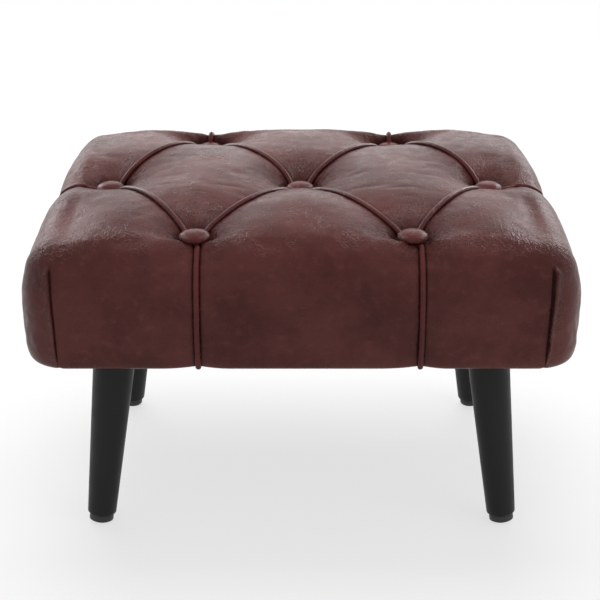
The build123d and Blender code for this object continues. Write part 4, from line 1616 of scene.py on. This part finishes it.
@dataclass
class Buttons:
    """Seven leather-covered buttons, each a soft dome with a tight rim, tilted a little by hand."""

    form: CushionForm
    finish: Material
    sides: int = 56
    tilt: float = 0.05
    lift: float = 1.4
    # How much the rim puckers, how high it is, and how uneven the dome is: height and size.
    pucker: float = 0.02
    pucker_turn: float = 3.4
    pucker_top: float = 6.0
    unevenness: Pair = (0.12, 5.0)
    gathered: float = 0.6
    # Painted shade at the button's foot: its share at the foot, and the height over which it fades.
    shade: Pair = (1.3, 1.6)
    profile: tuple[Pair, ...] = (
        (0.0, -1.4), (6.5, -1.4), (9.2, -0.4), (10.7, 0.8), (11.2, 2.1), (11.0, 3.3), (10.2, 4.5),
        (8.7, 5.7), (6.7, 6.6), (4.5, 7.1), (2.2, 7.35), (0.0, 7.4),
    )

    def build(self) -> list[Piece]:
        """Makes the buttons.

        Returns:
            The buttons.
        """
        made = []
        line = smooth_line(np.array(self.profile), 3)
        line[:, 0] = np.maximum(line[:, 0], 0)
        line[0], line[-1] = self.profile[0], self.profile[-1]
        for number, (name, spot) in enumerate(self.form.buttons().items()):
            points, faces = lathe(line.tolist(), self.sides)
            radius = np.hypot(points[:, 0], points[:, 1])
            way = points[:, :2] / np.maximum(radius, TINY)[:, None]
            around = np.c_[way * self.pucker_turn, np.full(len(points), 3.0 * number)]
            pinch = np.clip((radius - 6) / 4, 0, 1) * np.clip(1 - points[:, 2] / self.pucker_top, 0, 1)
            points[:, :2] *= (1 + self.pucker * pinch * ripple(around, 1.0, 4.0))[:, None]
            uneven = self.unevenness[0] * ripple(points, self.unevenness[1], 2.0 + number)
            points[:, 2] += uneven * (points[:, 2] > 1)
            lean = self.tilt * np.array([noise.noise(Vector((number, i, 2.5))) for i in (0.3, 7.3)])
            points[:, 2] += points[:, :2] @ lean
            points[:, 2] = np.maximum(points[:, 2], -self.lift)
            seat = self.form.surface(np.array([spot]))[0][0]
            points += (seat[0], seat[1], self.form.seat + self.lift)
            button = new_piece(f"button_{name}_leather", points, faces)
            put_attribute(button.data, "gathered", pinch * self.gathered)
            put_attribute(button.data, "gather_place", np.c_[way * 12.0, radius * 0.2])
            above = points[:, 2] - self.form.seat - self.lift
            # Painted shade round the button's foot, fading upwards.
            put_attribute(button.data, "creviced", np.clip(self.shade[0] - above / self.shade[1], 0, 1))
            button.data.materials.append(self.finish)
            hand_over(button, f"button_{name}")
            made.append(button)
        LOG.info("buttons: %d", len(made))
        return made


@dataclass
class Padding:
    """The foam: a tufted pad on the deck and four strips round the rails."""

    form: CushionForm
    finish: Material
    inset: float = 5.0
    button_inset: float = 4.5
    deck_top: float = 206.5
    rail_bottom: float = 152.8
    half_width: float = 179.2
    half_depth: float = 129.2
    spacing: float = 6.0
    rim_clear: float = 0.6
    merge: float = 1e-3
    button_reach: Pair = (12.0, 10.0)
    rows: int = 12
    turn_steps: int = 10
    corner_turn: float = 67.0
    long_columns: int = 60
    short_columns: int = 50
    end_gap: float = 0.4

    def over_at(self, height: float) -> float:
        """How far over the edge the base reaches a height."""
        run, line, _ = self.form.edge_table()
        return float(run[np.argmax(line[:, 1] <= height)])

    def rim(self, over: float) -> Array:
        """The unrolled outline at a distance over the edge, in steps of about the spacing.

        Args:
            over: the distance.

        Returns:
            Places round it, one a row.
        """
        core = self.form.core
        arcs = []
        for side, way in ((-1, -1), (1, -1), (1, 1), (-1, 1)):
            turns = np.linspace(0, math.pi / 2, self.turn_steps)[:: -side * way]
            x, y = core[0] + over * np.sin(turns), core[1] + over * np.cos(turns)
            arcs.append(np.c_[side * x, way * y])
        closed = np.vstack([*arcs, arcs[0][:1]])
        rim = []
        for start, stop in zip(closed, closed[1:]):
            count = max(int(np.hypot(*(stop - start)) / self.spacing), 1)
            rim.extend(start + (stop - start) * i / count for i in range(count))
        return np.array(rim)

    def pad(self) -> Piece:
        """Makes the tufted pad, flat where it lies on the deck.

        Returns:
            The pad.
        """
        core = np.array(self.form.core)
        end = self.over_at(self.deck_top)
        rim = self.rim(end)
        xs, ys = (np.arange(-size - end, size + end, self.spacing) for size in core)
        inner = np.array([(x, y) for y in ys for x in xs])
        beyond = np.hypot(*(inner - np.clip(inner, -core, core)).T)
        inner = inner[beyond < end - self.spacing * self.rim_clear]
        joins = [(i, (i + 1) % len(rim)) for i in range(len(rim))]
        points = np.vstack([rim, inner])
        made = delaunay_2d_cdt([Vector(p) for p in points.tolist()], joins, [], 1, self.merge)
        flat = np.array([tuple(p) for p in made[0]])
        top, _ = self.form.surface(flat, self.inset)
        for spot in self.form.buttons().values():
            beyond = np.maximum(np.hypot(*(flat - spot).T) - self.button_reach[0], 0)
            top[:, 2] -= self.button_inset * bell(beyond, self.button_reach[1])
        edge = np.hypot(*(flat - np.clip(flat, -core, core)).T) > end - 0.01
        top[edge, 2] = self.deck_top
        below = top.copy()
        below[:, 2] = self.deck_top
        rank = np.arange(len(flat)) + np.where(edge, 0, len(flat))
        faces = np.array([list(f) for f in made[2]])
        faces = np.vstack([faces, rank[faces[:, ::-1]]])
        used, inverse = np.unique(faces, return_inverse=True)
        return new_piece("foam_tufted_pad", np.vstack([top, below])[used], inverse.reshape(-1, 3))

    def strip(self, name: str, flat: Array, axis: int, inside: float) -> Piece:
        """Makes a strip of padding between the leather and a rail.

        Args:
            name: which side it is on.
            flat: rows x columns x 2 unrolled places of its outside.
            axis: which way the rail faces, 0 for x and 1 for y.
            inside: where the rail's face is on that axis.

        Returns:
            The strip.
        """
        core_y = self.form.core[1]
        level = np.clip(flat, (-np.inf, -core_y), (np.inf, core_y)) if axis == 0 else flat
        outer, _ = self.form.surface(level.reshape(-1, 2), self.inset)
        outer = outer.reshape(*flat.shape[:2], 3)
        if axis == 0:
            outer[..., 1] = flat[..., 1]
        inner = outer.copy()
        inner[..., axis] = inside
        return new_piece(f"foam_strip_{name}", *closed_grid(outer, inner))

    def long_strip(self, name: str, way: int) -> Piece:
        """Makes the strip in front or behind, which also goes round its two corners.

        Args:
            name: front or back.
            way: -1 in front, 1 behind.

        Returns:
            The strip.
        """
        core_x, core_y = self.form.core
        turns = np.linspace(-math.radians(self.corner_turn), 0, self.turn_steps)
        turns = np.r_[turns, np.zeros(self.long_columns - 2), -turns[::-1]]
        middle = np.linspace(-core_x, core_x, self.long_columns)[1:-1]
        starts = np.r_[np.full(self.turn_steps, -core_x), middle, np.full(self.turn_steps, core_x)]
        overs = self.overs()[:, None]
        flat = np.stack([starts + overs * np.sin(turns), way * (core_y + overs * np.cos(turns))], axis=2)
        return self.strip(name, flat[:, ::-1] if way > 0 else flat, 1, way * self.half_depth)

    def short_strip(self, name: str, side: int) -> Piece:
        """Makes the strip at one end.

        Args:
            name: left or right.
            side: -1 on the left, 1 on the right.

        Returns:
            The strip.
        """
        end = self.half_depth - self.end_gap
        ys = np.linspace(-end, end, self.short_columns) * side
        xs = side * (self.form.core[0] + self.overs())
        flat = np.stack(np.broadcast_arrays(xs[:, None], ys), axis=2)
        return self.strip(name, flat, 0, side * self.half_width)

    def overs(self) -> Array:
        """How far over the edge each row of a strip is, from the rails' foot to the deck."""
        return np.linspace(self.over_at(self.rail_bottom), self.over_at(self.deck_top), self.rows)

    def build(self) -> list[Piece]:
        """Makes the pad and the strips.

        Returns:
            The five pieces.
        """
        made = {
            "foam_pad": self.pad(),
            "side_padding_front": self.long_strip("front", -1),
            "side_padding_back": self.long_strip("back", 1),
            "side_padding_left": self.short_strip("left", -1),
            "side_padding_right": self.short_strip("right", 1),
        }
        for node, piece in made.items():
            piece.data.materials.append(self.finish)
            hand_over(piece, node)
        LOG.info("padding: %d pieces", len(made))
        return list(made.values())


@dataclass
class Legs:
    """Four turned, splayed legs in black lacquer, each on a moulded glide."""

    lacquer: Material
    nylon: Material
    foot: Pair = (156.4, 101.0)
    splay_share: float = 0.116
    top: float = 150.45
    end_radius: float = 11.0
    top_radius: float = 16.6
    chamfer: float = 1.2
    glide_radius: float = 9.25
    glide_height: float = 8.0
    glide_dome: float = 3.0
    glide_edge: float = 0.4
    floor_cut: float = 0.5
    sides: int = 72
    # The foot of the leg: how far each place is inside its radius and above the glide, the last
    # two above the chamfer as well.
    foot_edge: tuple[Pair, ...] = ((0.25, 0.0), (0.0, 0.08), (0.12, -0.08), (0.0, 0.35))
    taper_steps: int = 18

    def along_axis(self, points: Array, side: int, way: int) -> Array:
        """Stands points of an upright leg on the splayed axis of one corner.

        Args:
            points: the points.
            side: -1 on the left, 1 on the right.
            way: -1 in front, 1 behind.

        Returns:
            The points in place.
        """
        axis = np.array([-side * self.splay_share, -way * self.splay_share, 1.0])
        axis /= np.linalg.norm(axis)
        across = np.cross((0, 1, 0), axis)
        across /= np.linalg.norm(across)
        ahead = np.cross(axis, across)
        x, y = np.array(self.foot) + self.splay_share * self.floor_cut
        return (side * x, way * y, -self.floor_cut) + points @ np.array([across, ahead, axis])

    def leg(self, corner: str, side: int, way: int) -> Piece:
        """Turns one leg and cuts its top level under the dust cover.

        Args:
            corner: the corner's name.
            side: -1 on the left, 1 on the right.
            way: -1 in front, 1 behind.

        Returns:
            The leg.
        """
        stretch = math.sqrt(1 + 2 * self.splay_share**2)
        length = (self.top + self.floor_cut) * stretch
        low = self.glide_height
        profile = [(0.0, low)]
        for (inside, above), soft in zip(self.foot_edge, (0, 0, self.chamfer, self.chamfer)):
            profile.append((self.end_radius - self.chamfer + soft - inside, low + soft + above))
        low += self.chamfer
        for share in np.linspace(0.03, 1, self.taper_steps):
            radius = self.end_radius + (self.top_radius - self.end_radius) * share
            profile.append((radius, low + (length - low) * share))
        profile.append((0.0, length))
        points, faces = lathe(profile, self.sides)
        placed = self.along_axis(points, side, way)
        axis = np.array([-side * self.splay_share, -way * self.splay_share, 1.0])
        top = points[:, 2] > length - TINY
        placed[top] += axis * (self.top - placed[top, 2])[:, None]
        leg = new_piece(f"turned_leg_{corner}", placed, faces)
        leg.data.materials.append(self.lacquer)
        hand_over(leg, f"leg_{corner}")
        return leg

    def glide(self, corner: str, side: int, way: int) -> Piece:
        """Moulds one glide: a domed foot, flat from wear where it stands.

        Args:
            corner: the corner's name.
            side: -1 on the left, 1 on the right.
            way: -1 in front, 1 behind.

        Returns:
            The glide.
        """
        dome = (self.glide_radius**2 + self.glide_dome**2) / (2 * self.glide_dome)
        turns = np.linspace(0, math.asin(self.glide_radius / dome), 12)
        profile = [(dome * math.sin(t), dome * (1 - math.cos(t))) for t in turns]
        radius, height, edge = self.glide_radius, self.glide_height, self.glide_edge
        profile += [(radius, height - edge), (radius - edge, height), (0.0, height)]
        points, faces = lathe(profile, self.sides)
        placed = self.along_axis(points, side, way)
        placed[:, 2] = np.maximum(placed[:, 2], 0.0)
        glide = new_piece(f"moulded_glide_{corner}", placed, faces)
        glide.data.materials.append(self.nylon)
        hand_over(glide, f"glide_{corner}")
        return glide

    def build(self) -> list[Piece]:
        """Makes the legs and the glides.

        Returns:
            The eight pieces.
        """
        made = []
        for corner, (side, way) in CORNERS.items():
            made += [self.leg(corner, side, way), self.glide(corner, side, way)]
        LOG.info("legs and glides: %d", len(made))
        return made


@dataclass
class DustCover:
    """The black sheet stapled under the frame, pulled nearly flat."""

    cloth: Material
    steel: Material
    half_width: float = 174.0
    half_depth: float = 124.0
    corner: float = 12.0
    low: float = 150.5
    thickness: float = 0.4
    sag: float = 0.35
    cell: float = 4.0
    wave: Triple = (0.4, 14.0, 3.0)
    staple_crown: float = 10.0
    staple_leg: float = 7.0
    staple_bend: float = 1.1
    wire: float = 0.8
    wire_sides: int = 8
    staple_inset: float = 5.0
    corner_inset: float = 24.0
    long_count: int = 9
    short_count: int = 6

    def sheet(self) -> Piece:
        """Cuts the sheet and lets it hang a little between its staples.

        Returns:
            The sheet.
        """
        xs = np.linspace(-self.half_width, self.half_width, int(2 * self.half_width / self.cell))
        ys = np.linspace(-self.half_depth, self.half_depth, int(2 * self.half_depth / self.cell))
        points = np.array([(x, y, 0.0) for y in ys for x in xs])
        inner = np.array([self.half_width - self.corner, self.half_depth - self.corner])
        beyond = np.maximum(np.abs(points[:, :2]) - inner, 0)
        reach = np.hypot(*beyond.T)
        over = reach > self.corner
        shrink = np.where(over, self.corner / np.maximum(reach, TINY), 1.0)
        kept = np.sign(points[:, :2]) * (np.minimum(np.abs(points[:, :2]), inner) + beyond * shrink[:, None])
        points[:, :2] = kept
        hang = (1 - (points[:, 0] / self.half_width) ** 2) * (1 - (points[:, 1] / self.half_depth) ** 2)
        share, size, stretch = self.wave
        waves = ripple(np.c_[points[:, :2] / stretch, points[:, 1] * 0], size, 6.0)
        points[:, 2] = self.low + self.thickness - self.sag * hang * (1 - share + share * waves)
        width = len(xs)
        faces = [
            [r * width + c, (r + 1) * width + c, (r + 1) * width + c + 1, r * width + c + 1]
            for r in range(len(ys) - 1)
            for c in range(width - 1)
        ]
        sheet = new_piece("dust_cloth_sheet", points, faces)
        sheet.data.materials.append(self.cloth)
        add_wall(sheet, self.thickness, 1)
        hand_over(sheet, "dust_cover")
        size = (2 * self.half_width * MM, 2 * self.half_depth * MM)
        return sheet

    def staple(self) -> Piece:
        """Bends one staple: its crown along X under the cloth, its legs up.

        Returns:
            The staple.
        """
        half = (self.staple_crown - self.wire) / 2
        bend = self.staple_bend
        path = [(-half, self.staple_leg), (-half, bend)]
        turns = np.radians((30, 60, 90))
        path += [(-half + bend * (1 - math.cos(t)), bend * (1 - math.sin(t))) for t in turns]
        path += [(-x, z) for x, z in reversed(path)]
        path = np.array(path) - (0, self.wire / 2)
        course = np.gradient(path, axis=0)
        course /= np.linalg.norm(course, axis=1, keepdims=True)
        sides = self.wire_sides
        turns = np.arange(sides) * 2 * math.pi / sides
        out, side = self.wire / 2 * np.cos(turns), self.wire / 2 * np.sin(turns)
        points = [np.c_[x - dz * out, side, z + dx * out] for (x, z), (dx, dz) in zip(path, course)]
        last = (len(path) - 1) * sides
        faces = [
            [r + i, r + (i + 1) % sides, r + sides + (i + 1) % sides, r + sides + i]
            for r in range(0, last, sides)
            for i in range(sides)
        ]
        faces += [list(reversed(range(sides))), list(range(last, last + sides))]
        return new_piece("wire_staples", np.vstack(points), faces)

    def staple_tree(self) -> Tree:
        """Nodes that set staples along four lines round the sheet.

        Returns:
            The tree.
        """
        sizes = dict.fromkeys(("Half Run X", "Half Run Y", "Row X", "Row Y", "Height"), "Float")
        sizes |= {"Count X": "Int", "Count Y": "Int"}
        tree, add, given = start_tree("staple_rows", sizes)
        rows = []
        for way, run_axis in ((-1, "X"), (-1, "Y"), (1, "X"), (1, "Y")):
            row_axis = "Y" if run_axis == "X" else "X"
            run = given[f"Half Run {run_axis}"]
            back = add("ShaderNodeMath", (run, -1.0), operation="MULTIPLY")
            side = add("ShaderNodeMath", (given[f"Row {row_axis}"], float(way)), operation="MULTIPLY")
            start, end = (
                add("ShaderNodeCombineXYZ", {run_axis: at, row_axis: side, "Z": given["Height"]})
                for at in (back, run)
            )
            line = {"Count": given[f"Count {run_axis}"], "Start Location": start, "Offset": end}
            points = add("GeometryNodeMeshLine", line, mode="END_POINTS")
            turn = (0.0, 0.0, 0.0 if run_axis == "X" else math.pi / 2)
            row = {"Points": points, "Instance": given["Geometry"], "Rotation": turn}
            rows.append(add("GeometryNodeInstanceOnPoints", row))
        end_tree(add, add("GeometryNodeJoinGeometry", (rows,)), given["Finish"])
        return tree

    def staples(self) -> Piece:
        """Sets the staples round the sheet's edge.

        Returns:
            All the staples as one piece.
        """
        staples = self.staple()
        run_tree(staples, self.staple_tree(), {
            "Half Run X": (self.half_width - self.corner_inset) * MM,
            "Half Run Y": (self.half_depth - self.corner_inset) * MM,
            "Row X": (self.half_width - self.staple_inset) * MM,
            "Row Y": (self.half_depth - self.staple_inset) * MM,
            "Height": self.low * MM,
            "Count X": self.long_count,
            "Count Y": self.short_count,
            "Finish": self.steel,
        })
        hand_over(staples, "staples")
        return staples

    def build(self) -> list[Piece]:
        """Makes the sheet and its staples."""
        made = [self.sheet(), self.staples()]
        LOG.info("dust cover and staples: %d", len(made))
        return made


@dataclass
class Framework:
    """The CAD pieces that stay as they are and only get their finish."""

    pine_wide: Material
    pine_deep: Material
    plywood: Material
    steel: Material
    twine: Material

    def build(self) -> list[Piece]:
        """Puts each finish on its nodes.

        Returns:
            The pieces.
        """
        blocks = [f"corner_block_{corner}" for corner in CORNERS]
        hardware = ["button_shanks", "twine_washers", "hanger_bolts", "leg_inserts"]
        hardware += ["frame_screws", "deck_screws"]
        finishes = {
            **dict.fromkeys(("front_rail", "back_rail", *blocks), self.pine_wide),
            **dict.fromkeys(("left_rail", "right_rail"), self.pine_deep),
            "seat_deck": self.plywood,
            "tufting_twines": self.twine,
            **dict.fromkeys(hardware, self.steel),
        }
        for name, finish in finishes.items():
            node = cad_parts[name]
            node.data.materials.clear()
            node.data.materials.append(finish)
        LOG.info("framework: %d nodes", len(finishes))
        return [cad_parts[name] for name in finishes]


@dataclass
class Studio:
    """White floor, soft lamps and the camera of the photograph."""

    camera_place: Triple = (-0.0011, -0.9859, 0.5526)
    camera_pitch: float = 22.485
    camera_lens: float = 78.95
    sensor: float = 36.0
    floor_size: float = 12.0
    floor_colour: str = "#ededec"
    white_share: float = 0.66
    fade_reach: Pair = (0.9, 2.4)
    ambient: float = 0.54
    aim: Triple = (0.0, 0.0, 0.18)
    # Each lamp's place and size in metres, its power in watts, whether it shows in reflections and
    # whether it lights matt surfaces.
    lamps: tuple[tuple[str, Triple, Pair, float, bool, bool], ...] = (
        ("back_softbox", (0.0, 2.4, 0.85), (5.0, 1.3), 15.0, True, True),
        ("left_softbox", (-2.0, 2.2, 1.6), (1.5, 1.5), 28.0, True, False),
        ("right_softbox", (2.0, 2.2, 1.6), (1.5, 1.5), 32.0, True, False),
        ("top_softbox", (-0.1, 0.8, 2.1), (1.8, 1.8), 44.0, False, True),
        ("front_softbox", (2.2, -1.3, 1.0), (1.8, 1.4), 11.0, False, True),
    )

    def camera(self) -> None:
        """Sets up the camera, level and looking down at the stool."""
        data = bpy.data.cameras.new("camera")
        data.lens = self.camera_lens
        data.sensor_width = self.sensor
        data.clip_start = 0.05
        data.clip_end = 50.0
        camera = bpy.data.objects.new("camera", data)
        camera.location = self.camera_place
        camera.rotation_euler = (math.radians(90 - self.camera_pitch), 0, 0)
        bpy.context.scene.collection.objects.link(camera)
        bpy.context.scene.camera = camera

    def seen(self, add: Adder) -> Socket:
        """1 where the camera, a reflection or glass looks at the background."""
        path = add("ShaderNodeLightPath").node.outputs
        either = (path["Is Camera Ray"], path["Is Glossy Ray"])
        either = add("ShaderNodeMath", either, operation="MAXIMUM")
        return add("ShaderNodeMath", (either, path["Is Transmission Ray"]), operation="MAXIMUM")

    def world(self) -> None:
        """A soft even light, seen as white."""
        world = bpy.data.worlds.new("studio")
        bpy.context.scene.world = world
        world.use_nodes = True
        world.node_tree.nodes.clear()
        add = partial(add_node, world.node_tree)
        strength = add("ShaderNodeMix", {0: self.seen(add), 2: self.ambient, 3: 1.0}, data_type="FLOAT")
        light = add("ShaderNodeBackground", {"Color": (1, 1, 1, 1), "Strength": strength})
        add("ShaderNodeOutputWorld", {"Surface": light})

    def floor(self) -> None:
        """A plain pale floor that keeps the stool's shadow and fades to white further away."""
        half = self.floor_size / 2 / MM
        points = np.array([(-half, -half, 0), (half, -half, 0), (half, half, 0), (-half, half, 0)])
        floor = new_piece("floor", points, [[0, 1, 2, 3]])
        material, add, place = start_material("studio_floor")
        lit = add("ShaderNodeBsdfDiffuse", {"Color": linear(self.floor_colour)})
        away = add("ShaderNodeVectorMath", (place,), output="Value", operation="LENGTH")
        white = add("ShaderNodeMapRange", (away, *self.fade_reach, self.white_share, 1.0), **SMOOTH)
        share = add("ShaderNodeMath", (self.seen(add), white), operation="MULTIPLY")
        glow = add("ShaderNodeEmission", {"Color": (1, 1, 1, 1), "Strength": 1.0})
        add("ShaderNodeOutputMaterial", {"Surface": add("ShaderNodeMixShader", (share, lit, glow))})
        floor.data.materials.append(material)

    def lamp(self, name: str, place: Triple, size: Pair, power: float, mirrored: bool, lit: bool) -> None:
        """Hangs a soft box that points at the cushion.

        Args:
            name: the lamp's name.
            place: where it hangs, in metres.
            size: its width and height.
            power: its power in watts.
            mirrored: whether it shows in reflections.
            lit: whether it lights matt surfaces.
        """
        data = bpy.data.lights.new(name, "AREA")
        data.shape = "RECTANGLE"
        data.size, data.size_y = size
        data.energy = power
        lamp = bpy.data.objects.new(name, data)
        lamp.location = place
        lamp.rotation_euler = (Vector(self.aim) - Vector(place)).to_track_quat("-Z", "Y").to_euler()
        lamp.visible_camera = False
        lamp.visible_glossy = mirrored
        lamp.visible_diffuse = lit
        bpy.context.scene.collection.objects.link(lamp)

    def build(self) -> None:
        """Sets up the camera, floor and lamps."""
        self.camera()
        self.world()
        self.floor()
        for lamp in self.lamps:
            self.lamp(*lamp)
        bpy.context.scene.view_settings.view_transform = "Standard"


def main() -> None:
    """Builds the studio and the stool, piece by piece."""
    Studio().build()
    form = CushionForm()
    leather = OxbloodLeather().material()
    taut = OxbloodLeather(
        name="oxblood_leather_taut", deep="#461d1b", body="#572725", rubbed="#683836",
        gloss=(0.17, 0.23), shine_level=0.15,
    ).material()
    cover = Cover(form, leather)
    cover.build()
    Piping(form, cover, taut).build()
    Buttons(form, taut).build()
    Padding(form, SeatFoam().material()).build()
    Legs(SatinBlackLacquer().material(), MouldedNylon().material()).build()
    steel = ZincPlatedSteel().material()
    DustCover(SpunbondDustCloth().material(), steel).build()
    Framework(
        SawnPine(Grain.ALONG_WIDTH).material(),
        SawnPine(Grain.ALONG_DEPTH).material(),
        BirchPlywood().material(),
        steel,
        WaxedTwine().material(),
    ).build()


if __name__ == "__main__":
    logging.basicConfig(level=logging.INFO)
    main()
